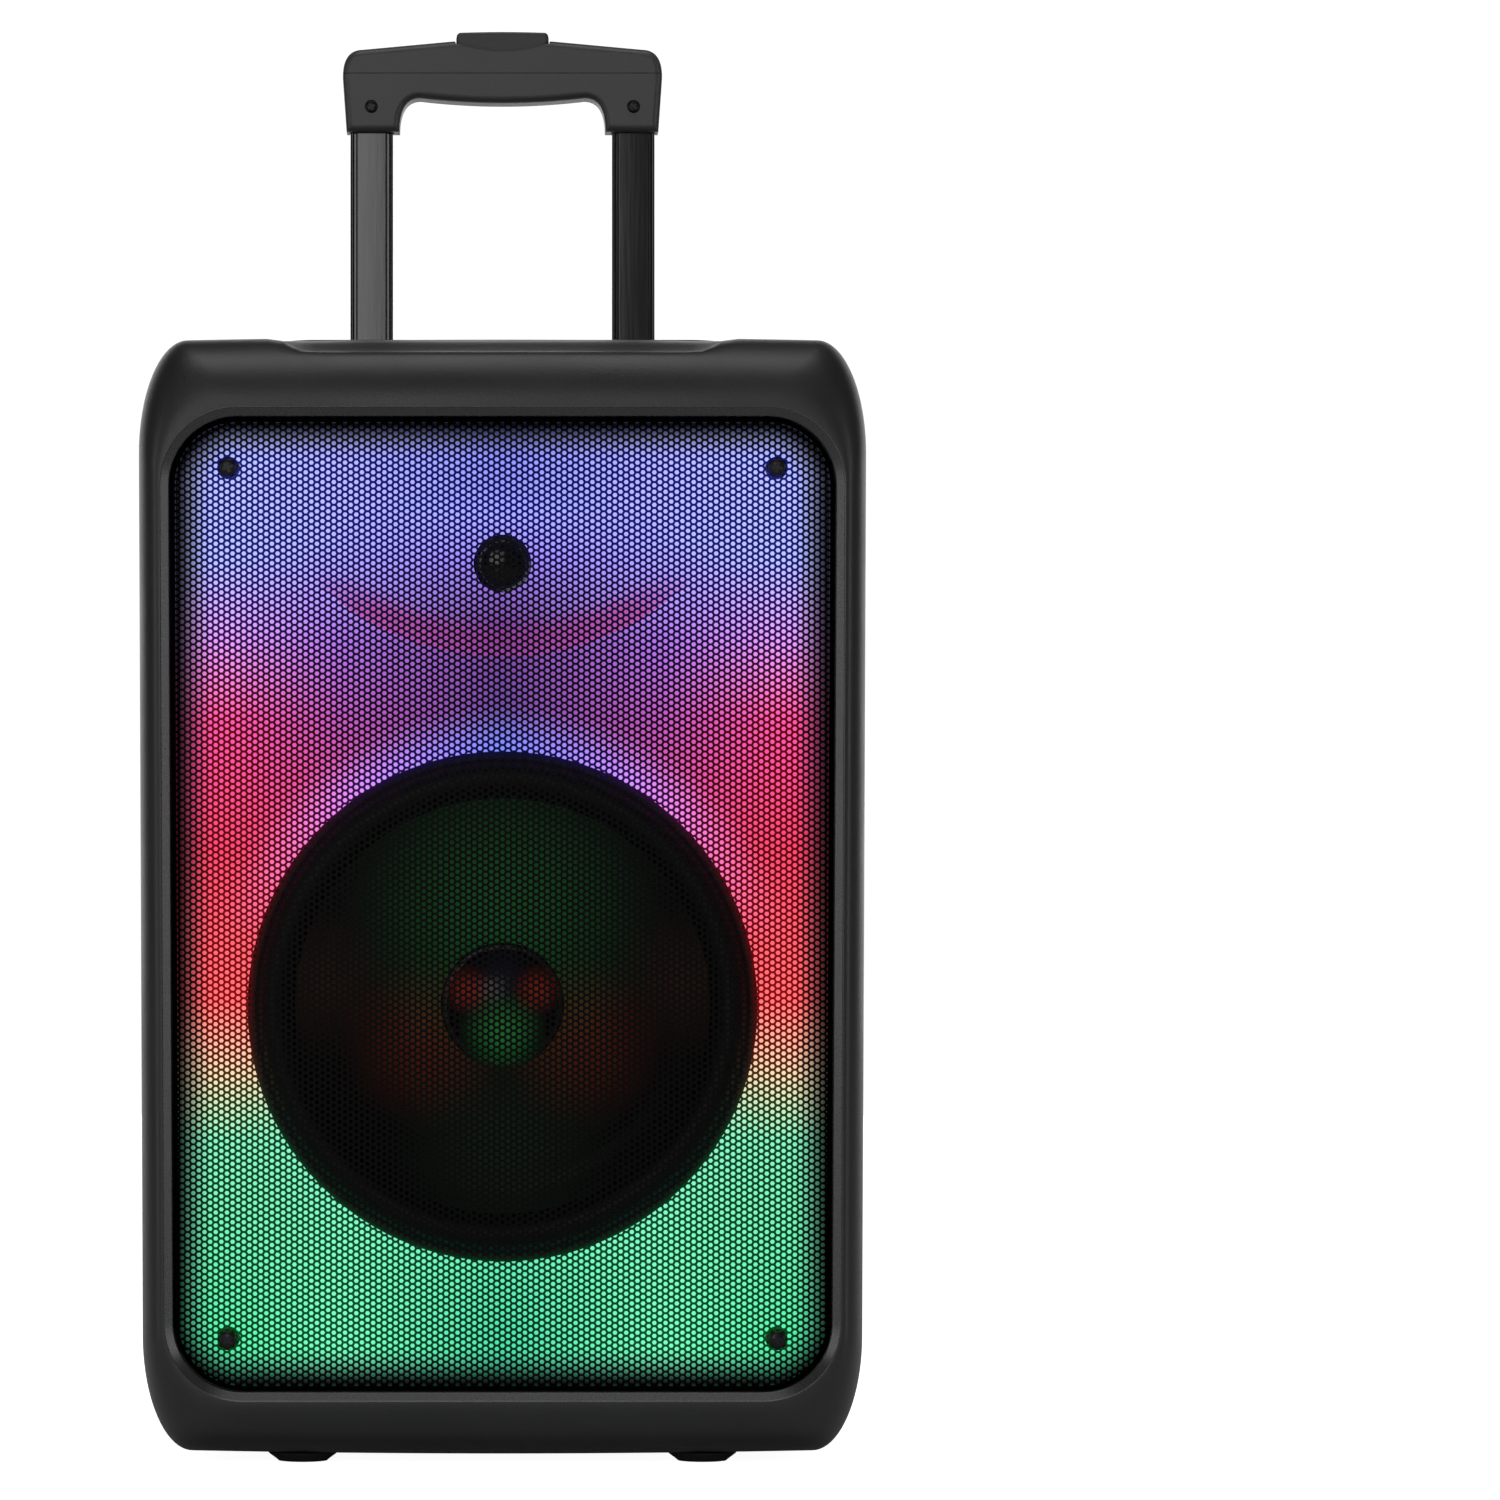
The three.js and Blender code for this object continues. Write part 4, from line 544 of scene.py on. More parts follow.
def setStudio():
    scene = bpy.context.scene
    scene.view_settings.view_transform = "Standard"
    camera = bpy.data.objects.new("camera", bpy.data.cameras.new("camera"))
    camera.data.lens = studio["lens"]
    camera.data.sensor_width = 36.0
    camera.data.shift_x = studio["shift"]
    camera.data.clip_end = 50.0
    camera.location = (0.0, front - studio["distance"], studio["eyeHeight"])
    camera.rotation_euler = (math.pi / 2, 0.0, 0.0)
    scene.collection.objects.link(camera)
    scene.camera = camera

    room = bpy.data.worlds.new("room")
    scene.world = room
    room.use_nodes = True
    tree = room.node_tree
    tree.nodes.clear()
    seen = addNode(tree, "ShaderNodeBackground", {"Color": (1.0, 1.0, 1.0, 1.0), "Strength": 1.05})
    felt = addNode(tree, "ShaderNodeBackground", {"Color": (1.0, 1.0, 1.0, 1.0), "Strength": studio["room"]})
    ray = addNode(tree, "ShaderNodeLightPath")
    mixed = addNode(tree, "ShaderNodeMixShader", links={0: ray.outputs["Is Camera Ray"], 1: felt.outputs[0],
                                                        2: seen.outputs[0]})
    addNode(tree, "ShaderNodeOutputWorld", links={"Surface": mixed.outputs[0]})

    paper, tree, shader, place = startMaterial("studioPaper", Roughness=0.9,
                                               **{"Emission Color": (1, 1, 1, 1)})
    addGrain(tree, shader, place, 4.0, "#ededed", studio["floor"], (0.85, 0.95), 0.0)
    seen = addNode(tree, "ShaderNodeLightPath").outputs["Is Camera Ray"]
    tree.links.new(addNode(tree, "ShaderNodeMath", {"operation": "MULTIPLY", 1: studio["floorGlow"]},
                           {0: seen}).outputs[0], shader.inputs["Emission Strength"])
    floor = makePiece("floor", [(-40, -6, 0), (40, -6, 0), (40, 90, 0), (-40, 90, 0)], [(0, 1, 2, 3)], paper)

    lamps = [  # name, place, aim, width, height, watts
        ("lamp_top", (0.0, -0.5, 2.6), (0.0, 0.0, 0.3), 1.6, 1.2, 17),
        ("lamp_front", (-0.76, -4.8, 1.3), (0.0, 0.0, 0.5), 1.5, 1.6, 38),
        ("lamp_left", (-3.0, -1.75, 0.5), (0.0, 0.0, 0.3), 0.4, 1.8, 15),
        ("lamp_right", (3.0, -1.75, 0.5), (0.0, 0.0, 0.3), 0.4, 1.8, 15),
        ("lamp_back", (0.0, 3.4, 1.2), (0.0, 0.0, 0.3), 5.0, 2.4, 60),
    ]
    for name, place, aim, width, height, watts in lamps:
        lamp = bpy.data.lights.new(name, "AREA")
        lamp.shape = "RECTANGLE"
        lamp.size = width
        lamp.size_y = height
        lamp.energy = watts
        holder = bpy.data.objects.new(name, lamp)
        holder.location = place
        holder.rotation_euler = (Vector(aim) - Vector(place)).to_track_quat("-Z", "Y").to_euler()
        scene.collection.objects.link(holder)


setStudio()
print("studio set")


shell = {
    "width": 338.5,  # at the top, mm
    "taper": 4.5,
    "cornerWide": 23.0,
    "cornerTall": 53.0,
    "crown": 1.5,
    "faceRoll": 30.0,
    "backRoll": 18.0,
    "backInset": 14.0,
    "wall": 3.5,
    "bevelRound": 0.7,
    "gap": 0.3,  # between the shells and what is let into them
    "axleBore": 4.3,
    "wheelRoom": 4.0,  # round the tyre, and beside it
    "wheelSideRoom": 3.0,
    "scoopFloor": 91.0,  # half widths of the dip in the top's front edge
    "scoopTop": 107.0,
    "scoopDrop": 7.5,
    "scoopStart": 26.0,
    "scoopEnd": 54.0,
    "scoopBlend": 2.5,
}


# A front-view outline whose sides lean and whose corners are quarter ellipses, as rows of x and z.
def leaningOutline(halfTop, halfBase, low, high, wide, tall, crown=0.0, arcSteps=20, edgeSteps=40,
                   sideSteps=28):
    def half(z):
        return halfBase + (halfTop - halfBase) * (z - low) / (high - low)
    points = []
    for side, centre, start in ((1, high - crown - tall, 0), (-1, high - crown - tall, 90),
                                (-1, low + crown + tall, 180), (1, low + crown + tall, 270)):
        for i in range(arcSteps + 1):
            angle = math.radians(start + 90 * i / arcSteps)
            z = centre + tall * math.sin(angle)
            points.append((side * (half(z) - wide) + wide * math.cos(angle), z))
        end = points[-1]
        if start in (0, 180):
            bulge = crown if start == 0 else -crown
            for i in range(1, edgeSteps):
                along = 1 - 2 * i / edgeSteps
                points.append((end[0] * along, end[1] + bulge * (1 - along * along)))
        else:
            other = low + crown + tall if start == 90 else high - crown - tall
            for i in range(1, sideSteps):
                z = end[1] + (other - end[1]) * i / sideSteps
                points.append((side * half(z), z))
    return np.array(points)


def cabinetOutline(inset=0.0):
    s = shell
    return leaningOutline((s["width"] / 2 - inset) * mm, ((s["width"] - s["taper"]) / 2 - inset) * mm,
                          base + inset * mm, top - inset * mm, (s["cornerWide"] - inset) * mm,
                          (s["cornerTall"] - inset) * mm, s["crown"] * mm)


def openingOutline(outset=0.0):
    o, s = opening, shell
    return leaningOutline((s["width"] / 2 - o["side"] + outset) * mm,
                          ((s["width"] - s["taper"]) / 2 - o["side"] + outset) * mm,
                          openingLow - outset * mm, openingHigh + outset * mm,
                          (o["corner"] + outset) * mm, (o["corner"] + outset) * mm)


def ringAt(y, outline):
    return np.column_stack([outline[:, 0], np.full(len(outline), y), outline[:, 1]])


# Lowers what lies above the dip's floor, with a soft crease where they meet.
def scooped(ring, wall=0.0):
    s = shell
    ring = ring.copy()
    x, depth = np.abs(ring[:, 0]) / mm, (ring[:, 1] - front) / mm
    across = np.clip((s["scoopTop"] - x) / (s["scoopTop"] - s["scoopFloor"]), 0, 1)
    across = across * across * (3 - 2 * across)
    along = np.clip((s["scoopEnd"] - depth) / (s["scoopEnd"] - s["scoopStart"]), 0, 1)
    along = along * along * (3 - 2 * along)
    level = top / mm - wall - s["scoopDrop"] * across * along
    z, blend = ring[:, 2] / mm, s["scoopBlend"]
    share = np.clip(0.5 + 0.5 * (level - z) / blend, 0, 1)
    softer = level * (1 - share) + z * share - blend * share * (1 - share)
    ring[:, 2] = np.where((across * along > 0) & (z > top / mm - 25), softer, z) * mm
    return ring


def makeFrontShell():
    s, o = shell, opening
    outer, crest = cabinetOutline(), openingOutline(o["band"])
    rings = [scooped(ringAt(y, outer)) for y in np.arange(seam, front + s["faceRoll"] * mm, -2.5 * mm)]
    steps = 22
    for i in range(steps, -1, -1):
        t = math.pi / 2 * i / steps
        outline = crest + (outer - crest) * math.sin(t)
        rings.append(scooped(ringAt(front + s["faceRoll"] * mm * (1 - math.cos(t)), outline)))
    bandFrom = len(rings)
    rings.append(ringAt(front + 0.06 * mm, openingOutline(o["band"] - s["bevelRound"] / 2)))
    rings.append(ringAt(front + 0.5 * mm, openingOutline(o["band"] - s["bevelRound"])))
    rings.append(ringAt(front + (o["bandDrop"] - 0.3) * mm, openingOutline(0.35)))
    rings.append(ringAt(front + (o["bandDrop"] + 0.1) * mm, openingOutline(0.05)))
    bandTo = len(rings)
    rings.append(ringAt(front + (o["bandDrop"] + 0.8) * mm, openingOutline()))
    lip = o["bandDrop"] + s["wall"]
    rings.append(ringAt(front + lip * mm, openingOutline()))
    inner = cabinetOutline(s["wall"])
    for i in range(0, 11):
        t = math.pi / 2 * i / 10
        outline = crest + (inner - crest) * math.sin(t)
        ring = ringAt(front + (lip + (s["faceRoll"] - o["bandDrop"]) * (1 - math.cos(t))) * mm, outline)
        rings.append(scooped(ring, s["wall"]))
    for y in np.arange(front + (s["faceRoll"] + 8) * mm, seam, 6 * mm):
        rings.append(scooped(ringAt(y, inner), s["wall"]))
    rings.append(ringAt(seam, inner))
    count = len(outer)
    slots = np.zeros(len(rings) * count, np.int32)
    # The bevel band takes the material whose lighter base colour is a painted highlight.
    slots[(bandFrom - 1) * count:bandTo * count] = 1
    piece = loft("front_shell_moulding", rings, [sparkErodedAbs, satinBandPaintedHighlight], closed=True, slots=slots)
    return piece


trayLow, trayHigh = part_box("top_panel")
wellLow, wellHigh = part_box("handle_well")


def plateCutter(low, high, corner, clearance, down):
    middle = (low + high) / 2
    outline = roundRectangle(high.x - low.x + 2 * clearance, high.y - low.y + 2 * clearance,
                             corner + clearance,
                             middle.x, middle.y, 10)
    return slab("cutter", outline, low.z - down, top + 0.05, sparkErodedAbs)


# The rings that turn from the sides into the flat of the back, a given inset from the outside.
def backRings(inset, steps):
    s = shell
    rings = []
    outline, end = cabinetOutline(inset), cabinetOutline(s["backInset"] + inset / 2)
    for i in range(steps + 1):
        t = math.pi / 2 * i / steps
        y = back - (s["backRoll"] - (s["backRoll"] - inset) * math.sin(t)) * mm
        rings.append(ringAt(y, outline + (end - outline) * (1 - math.cos(t))))
    return rings


def makeRearShell():
    s = shell
    outer, inner = cabinetOutline(), cabinetOutline(s["wall"])
    start = seam + 0.3 * mm
    rollStart = back - s["backRoll"] * mm
    rings = [scooped(ringAt(y, outer)) for y in np.linspace(start, rollStart, 24, endpoint=False)]
    inset = cabinetOutline(s["backInset"])
    rings += backRings(0.0, 12)
    centre = np.array([[0.0, nodeMiddle("bass_port").z]])  # in the port's hole, so no fan of faces is left
    for share in (0.9, 0.7, 0.45, 0.2, 0.02):
        rings.append(ringAt(back, centre + (inset - centre) * share))
    for share in (0.02, 0.5):
        rings.append(ringAt(back - s["wall"] * mm, centre + (inset - centre) * share))
    rings += backRings(s["wall"], 8)[::-1]
    rings.append(scooped(ringAt(start, inner), s["wall"]))
    return loft("rear_shell_moulding", rings, sparkErodedAbs, closed=True)


# The room cut out of the cabinet's lower back edge for a wheel.
def wheelBay(side, outset, name="cutter"):
    low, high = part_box("wheel_tyre_right")
    radius = (high.y - low.y) / 2 + shell["wheelRoom"] * mm + outset
    middleY, middleZ = (low.y + high.y) / 2, (low.z + high.z) / 2
    room = shell["wheelSideRoom"] * mm + outset
    x0, x1 = low.x - room, high.x + room
    outline = arc(middleY, middleZ, radius, 90, 180, 14)
    outline += [(middleY - radius, base - 0.02), (back + 0.02, base - 0.02), (back + 0.02, middleZ + radius)]
    rings = [[(side * x, y, z) for y, z in outline] for x in (x0, x1)]
    return loft(name, rings, sparkErodedAbs)


def axleCutter():
    axle, bore = nodeMiddle("wheel_axle"), shell["axleBore"] * mm
    profile = [(0, 0), (bore, 0), (bore, 0.4), (0, 0.4)]
    return turned("cutter", profile, (-0.2, axle.y, axle.z), (1, 0, 0), sparkErodedAbs, 32)


def makeBayLinings():
    for side, name in ((-1, "left"), (1, "right")):
        lining = wheelBay(side, shell["wall"] * mm, "wheel_arch_" + name)
        between = shell["wall"] * 0.6
        inside = loft("cutter", [ringAt(seam + 0.02, cabinetOutline(between))] + backRings(between, 10),
                      sparkErodedAbs)
        carve(lining, [inside], "INTERSECT")
        carve(lining, [wheelBay(side, 0.0), axleCutter()])
        settle(lining, "cabinet", "cabinet_plastic")


def makeShells():
    frontPiece = makeFrontShell()
    carve(frontPiece, [plateCutter(trayLow, trayHigh, 10 * mm, shell["gap"] * mm, 0.03)])
    settle(frontPiece, "cabinet", "cabinet_plastic", "front_shell")
    rearPiece = makeRearShell()
    gap = shell["gap"] * mm
    cutters = [plateCutter(trayLow, trayHigh, 10 * mm, gap, 0.03),
               plateCutter(wellLow, wellHigh, 12 * mm, gap, 0.03)]
    low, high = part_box("rear_panel")
    panel = roundRectangle(high.x - low.x + 2 * gap, high.z - low.z + 2 * gap, 6 * mm + gap,
                           0, (low.z + high.z) / 2, 8)
    port = circleOutline(30.8 * mm, 0, nodeMiddle("bass_port").z, 72)
    cutters += [slab("cutter", hole, back - 0.03, back + 0.01, sparkErodedAbs,
                     plane="xz") for hole in (panel, port)]
    cutters += [wheelBay(side, 0.0) for side in (-1, 1)]
    cutters.append(axleCutter())
    carve(rearPiece, cutters)
    makeBayLinings()
    settle(rearPiece, "cabinet", "cabinet_plastic", "rear_shell")


makeShells()
print("shells made")


perforation = {
    "pitch": 3.0,  # between the holes' middles, mm
    "hole": 1.9,  # across the flats
    "sheet": 0.8,
    "roll": 8.0,
    "hem": 2.4,  # plain rim outside the holes
    "dish": 0.9,  # how far the sheet dips at each screw
    "dishRadius": 9.0,
}
screwNodes = ["grille_screw_top_left", "grille_screw_top_right", "grille_screw_base_left",
              "grille_screw_base_right"]
screwPlaces = [nodeMiddle(node) for node in screwNodes]


# How far inside the grille's outline each point is, in millimetres.
def depthInside(x, z):
    half = openingHalf - (shell["taper"] * mm / 2) * (openingHigh - z) / (top - base) - 0.3 * mm
    middle, tall = (openingLow + openingHigh) / 2, (openingHigh - openingLow) / 2 - 0.3 * mm
    corner = opening["corner"] * mm
    across, up = np.abs(x) - (half - corner), np.abs(z - middle) - (tall - corner)
    outside = np.hypot(np.maximum(across, 0), np.maximum(up, 0)) + np.minimum(np.maximum(across, up), 0)
    return (corner - outside) / mm


# The pressed sheet's front, in y: flat in the middle, rolled back round its edge and dipped at the screws.
def sheetFront(x, z):
    roll = perforation["roll"]
    near = np.clip(1 - depthInside(x, z) / roll, 0, 1)
    y = grilleLow.y + roll * mm * (1 - np.sqrt(1 - near ** 2))
    for place in screwPlaces:
        away = np.hypot(x - place.x, z - place.z) / (perforation["dishRadius"] * mm)
        y = y + perforation["dish"] * mm * np.exp(-(away * 1.6) ** 4)
    return y


def makeGrille():
    pitch, hole = perforation["pitch"] * mm, perforation["hole"] * mm
    column = pitch * math.sqrt(3) / 2
    middleZ = (openingLow + openingHigh) / 2
    columns, rows = int(openingHalf / column) + 1, int((openingHigh - openingLow) / 2 / pitch) + 1
    i, j = np.meshgrid(np.arange(-columns, columns + 1), np.arange(-rows, rows + 1), indexing="ij")
    x = (i * column).ravel()
    z = (middleZ + j * pitch + (i % 2) * pitch / 2).ravel()
    keep = depthInside(x, z) > 1.0
    for place in screwPlaces:
        keep &= np.hypot(x - place.x, z - place.z) > 3.2 * mm
    x, z = x[keep], z[keep]
    turn = np.radians(np.arange(6) * 60)
    wide = np.stack([np.cos(turn), np.sin(turn)], 1) * pitch / math.sqrt(3)
    narrow = np.stack([np.cos(turn), np.sin(turn)], 1) * hole / math.sqrt(3)
    quarters = [(x <= 0) & (z > middleZ), (x > 0) & (z > middleZ), (x <= 0) & (z <= middleZ),
                (x > 0) & (z <= middleZ)]
    for number, part in enumerate(quarters, 1):
        centres = np.stack([x[part], z[part]], 1)
        cells = len(centres)
        outer = (centres[:, None] + wide).reshape(-1, 2)
        inner = (centres[:, None] + narrow).reshape(-1, 2)
        keys, index = np.unique(np.round(outer / (pitch * 0.05)).astype(int), axis=0, return_inverse=True)
        index = index.reshape(-1)
        shared = np.zeros((len(keys), 2))
        shared[index] = outer
        flat = np.concatenate([shared, inner])
        y = sheetFront(flat[:, 0], flat[:, 1])
        total = len(flat)
        points = np.concatenate([np.column_stack([flat[:, 0], y, flat[:, 1]]),
                                 np.column_stack([flat[:, 0], y + perforation["sheet"] * mm, flat[:, 1]])])
        out = index.reshape(cells, 6)
        holeRing = (len(keys) + np.arange(cells * 6)).reshape(cells, 6)
        outNext, holeNext = np.roll(out, -1, 1), np.roll(holeRing, -1, 1)
        face = np.stack([out, outNext, holeNext, holeRing], 2).reshape(-1, 4)
        behind = face[:, ::-1] + total
        wall = np.stack([holeRing, holeNext, holeNext + total, holeRing + total], 2).reshape(-1, 4)
        edges = np.stack([out, outNext], 2).reshape(-1, 2)
        which, times = np.unique(np.sort(edges, 1), axis=0, return_index=True, return_counts=True)[1:]
        rim = edges[which[times == 1]]
        closing = np.stack([rim[:, 1], rim[:, 0], rim[:, 0] + total, rim[:, 1] + total], 1)
        faces = np.concatenate([face, behind, wall, closing])
        sheet = bpy.data.meshes.new("grille_mesh_%d" % number)
        sheet.from_pydata(points.tolist(), [], faces.tolist())
        sheet.materials.append(powderCoatedSteelPaintedGlow)
        piece = bpy.data.objects.new("grille_mesh_%d" % number, sheet)
        bpy.context.scene.collection.objects.link(piece)
        settle(piece, "cabinet", "mesh_steel", "grille")

    hem = perforation["hem"]
    rings = []
    flat, edge = openingOutline(-0.3 - perforation["roll"]), openingOutline(-0.3)
    last = math.asin(1 - hem / perforation["roll"])
    for k in range(13):
        t = last + (math.pi / 2 - last) * k / 12
        rings.append(ringAt(grilleLow.y + (perforation["roll"] * (1 - math.cos(t)) - 0.12) * mm,
                            flat + (edge - flat) * math.sin(t)))
    rings.append(ringAt(grilleHigh.y, openingOutline(-0.3)))
    rings.append(ringAt(grilleHigh.y, openingOutline(-1.2)))
    for k in range(12, -1, -1):
        t = last + (math.pi / 2 - last) * k / 12
        rings.append(ringAt(grilleLow.y + (perforation["roll"] * (1 - math.cos(t)) + 1.1) * mm,
                            flat + (edge - flat) * math.sin(t) * 0.94))
    settle(loft("grille_hem", rings, powderCoatedRimPaintedGlow, closed=True), "cabinet", "mesh_steel", "grille")


makeGrille()
print("grille made")


diffuserLow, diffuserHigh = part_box("diffuser")


def isInside(outline, x, z):
    inside = False
    for (ax, az), (bx, bz) in zip(outline, np.roll(outline, -1, 0)):
        if (az > z) != (bz > z) and x < (bx - ax) * (z - az) / (bz - az) + ax:
            inside = not inside
    return inside


# A flat plate over an outline with holes in it, lying across the depth.
def piercedPlate(name, outlines, y0, y1, material, smoothBelow=35.0):
    points, edges = [], []
    for outline in outlines:
        start, count = len(points), len(outline)
        points += [Vector((p[0], p[1])) for p in outline]
        edges += [(start + i, start + (i + 1) % count) for i in range(count)]
    flat, _, triangles, *_ = delaunay_2d_cdt(points, edges, [], 1, 1e-7)
    flat = [(p.x, p.y) for p in flat]
    keep = []
    for triangle in triangles:
        x, z = (sum(flat[i][k] for i in triangle) / len(triangle) for k in (0, 1))
        if not any(isInside(outline, x, z) for outline in outlines[1:]):
            keep.append(tuple(triangle))
    count = len(flat)
    sides = {}
    for triangle in keep:
        for a, b in zip(triangle, triangle[1:] + triangle[:1]):
            ends = (min(a, b), max(a, b))
            sides[ends] = None if ends in sides else (a, b)
    faces = keep + [tuple(i + count for i in t[::-1]) for t in keep]
    faces += [(b, a, a + count, b + count) for a, b in filter(None, sides.values())]
    points = [(x, y0, z) for x, z in flat] + [(x, y1, z) for x, z in flat]
    return makePiece(name, points, faces, material, smoothBelow)


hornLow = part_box("tweeter_horn")[0]


def eyeOutline(halfWide, halfTall, steps=40):
    radius = (halfWide ** 2 + halfTall ** 2) / (2 * halfTall)
    sweep = math.asin(halfWide / radius)
    points = []
    for side in (1, -1):
        for i in range(steps):
            angle = sweep - 2 * sweep * i / steps
            points.append((side * radius * math.sin(angle),
                           hornCentre.z + side * (radius * math.cos(angle) - radius + halfTall)))
    return np.array(points)


def makeDiffuser():
    outlines = [openingOutline(1.0), circleOutline(wooferRadius + 0.4 * mm, 0, wooferCentre.z),
                eyeOutline((horn["halfWide"] + 0.6) * mm, (horn["halfTall"] + 0.6) * mm)]
    outlines += [circleOutline(5.3 * mm, p.x, p.z, 32) for p in screwPlaces]
    plate = piercedPlate("diffuser_plate", outlines, diffuserLow.y, diffuserHigh.y, litPolycarbonate)
    settle(plate, "cabinet", "light_panel", "diffuser")
    mouth = eyeOutline(horn["halfWide"] * mm, horn["halfTall"] * mm)
    outerMouth = eyeOutline((horn["halfWide"] + horn["wall"]) * mm, (horn["halfTall"] + horn["wall"]) * mm)

    def flare(outline, radius, behind=0.0):
        angles = np.arctan2((outline[:, 1] - hornCentre.z) / horn["halfTall"],
                            outline[:, 0] / horn["halfWide"])
        throat = np.stack([radius * np.cos(angles), hornCentre.z + radius * np.sin(angles)], 1)
        start, deep = hornLow.y + 0.3 * mm, horn["deep"] * mm + behind
        steps = 16
        return [ringAt(start + deep * math.sin(math.pi / 2 * i / steps),
                       outline + (throat - outline) * (1 - math.cos(math.pi / 2 * i / steps)))
                for i in range(steps + 1)]

    rings = flare(mouth, horn["throat"] * mm) + flare(outerMouth, (horn["throat"] + horn["wall"]) * mm,
                                                     1.0 * mm)[::-1]
    settle(loft("horn_flare", rings, litHorn, closed=True), "cabinet", "light_panel", "tweeter_horn")


makeDiffuser()
print("diffuser made")

coneLow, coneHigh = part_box("woofer_cone")
capLow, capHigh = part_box("dust_cap")
woofer = {"lip": 3.0, "roll": 18.0, "rollTall": 7.8, "coneBow": 3.0, "sheet": 1.2, "capRing": 4.0}
cross = {"long": 0.62, "wide": 0.2, "deep": 0.55}  # shares of the screw head's radius and height


def makeWoofer():
    w = woofer
    middle = (0.0, 0.0, wooferCentre.z)
    edge, coneEdge = wooferRadius, wooferRadius - (w["lip"] + w["roll"]) * mm
    centre, half = (edge - w["lip"] * mm + coneEdge) / 2, w["roll"] / 2 * mm
    under = surroundHigh.y
    over = under - 0.9 * mm
    profile = [(edge, under), (edge, over + 0.3 * mm), (edge - 0.4 * mm, over)]
    profile += [(centre + half * math.cos(t), over - w["rollTall"] * mm * 0.98 * math.sin(t))
                for t in np.linspace(0, math.pi, 19)]
    profile += [(coneEdge, under)]
    profile += [(centre - (half - w["sheet"] * mm) * math.cos(t),
                 under - (w["rollTall"] - w["sheet"]) * mm * math.sin(t)) for t in np.linspace(0, math.pi,
                                                                                               15)]
    settle(turned("surround_roll", profile, middle, (0, 1, 0), butylRubber, 128, closed=True),
           "cabinet", "rubber", "woofer_surround")

    neck = (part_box("voice_coil")[1].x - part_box("voice_coil")[0].x) / 2
    outer, deep = coneHigh.x - 0.1 * mm, coneHigh.y - coneLow.y - w["sheet"] * mm
    face, behind = [], []
    for t in np.linspace(0, 1, 22):
        radius = outer + (neck - outer) * t
        y = coneLow.y + deep * t + w["coneBow"] * mm * math.sin(math.pi * t) * -0.6
        groove = 0.35 * mm if abs(t - 0.12) < 0.03 or abs(t - 0.3) < 0.03 else 0.0
        face.append((radius, y + groove))
        behind.append((radius, y + w["sheet"] * mm))
    settle(turned("cone_skin", face + behind[::-1], middle, (0, 1, 0), conePolypropylene, 128, closed=True,
                  smoothBelow=60), "woofer_piston", "cone_polymer", "woofer_cone")

    rim, inner = capHigh.x, capHigh.x - w["capRing"] * mm
    tall = capHigh.y - capLow.y
    profile = [(rim, capHigh.y), (rim - 0.2 * mm, capHigh.y - 1.6 * mm)]
    profile += [(rim - 1.2 * mm, capHigh.y - 2.6 * mm), (inner + 1.0 * mm, capHigh.y - 2.7 * mm),
                (inner, capHigh.y - 1.9 * mm)]
    profile += [(inner * math.sin(t), capHigh.y - 1.9 * mm - (tall - 1.9 * mm) * math.cos(t))
                for t in np.linspace(math.pi / 2 * 0.97, 0, 14)]
    profile += [(0.0, capLow.y + 1.2 * mm), (inner * 0.7, capLow.y + 3.6 * mm), (inner, capHigh.y - 0.6 * mm),
                (inner, capHigh.y)]
    settle(turned("cap_dome", profile, middle, (0, 1, 0), capPolypropylene, 96, closed=True),
           "woofer_piston", "cone_polymer", "dust_cap")


def makeTweeter():
    low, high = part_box("tweeter_driver")
    middle = (0.0, 0.0, hornCentre.z)
    throat = horn["throat"] * mm
    rim = throat + 2 * mm
    start = low.y
    profile = [(0, high.y), (high.x - 1 * mm, high.y), (high.x, high.y - 1 * mm), (high.x, high.y - 15 * mm),
               (rim, high.y - 15 * mm), (rim, start + 0.5 * mm), (rim - 0.5 * mm, start),
               (throat + 0.4 * mm, start), (throat, start + 0.4 * mm), (throat, start + 3.2 * mm),
               (11.6 * mm, start + 3.4 * mm), (11.2 * mm, start + 2.2 * mm), (10.4 * mm, start + 2.2 * mm)]
    profile += [(10.2 * mm * math.cos(t), start + (2.4 - 2.2 * math.sin(t)) * mm)
                for t in np.linspace(0.1, math.pi / 2, 12)]
    settle(turned("tweeter_body", profile, middle, (0, 1, 0), glossAbs, 72, closed=True),
           "cabinet", "gloss_plastic", "tweeter_driver")


def crossCutters(x, z, y0, y1, headRadius, turn, material):
    long, wide = headRadius * cross["long"], headRadius * cross["wide"]
    bar = np.array([(-long, -wide), (long, -wide), (long, wide), (-long, wide)])
    cutters = []
    for angle in (turn, turn + math.pi / 2):
        spin = np.array([[math.cos(angle), -math.sin(angle)], [math.sin(angle), math.cos(angle)]])
        cutters.append(slab("cutter", bar @ spin.T + (x, z), y0, y1, material, plane="xz"))
    return cutters


# A pan-head screw with a cross recess; its face is at the low end of an axis along the depth.
def makeCrossScrew(name, node, headRadius, headTall, shankRadius, material, body, slotName, turn=0.3):
    low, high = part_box(node)
    x, z = (low.x + high.x) / 2, (low.z + high.z) / 2
    profile = [(0, low.y)]
    profile += [(headRadius * math.sin(t), low.y + headTall * 0.75 * (1 - math.cos(t)))
                for t in np.linspace(0.15, math.pi / 2, 9)]
    profile += [(headRadius, low.y + headTall), (shankRadius, low.y + headTall),
                (shankRadius, high.y - shankRadius), (0, high.y)]
    screw = turned(name, profile, (x, 0, z), (0, 1, 0), material, 40)
    carve(screw, crossCutters(x, z, low.y - 2 * mm, low.y + headTall * cross["deep"], headRadius, turn,
                              material),
          smoothBelow=30)
    settle(screw, body, slotName, node)


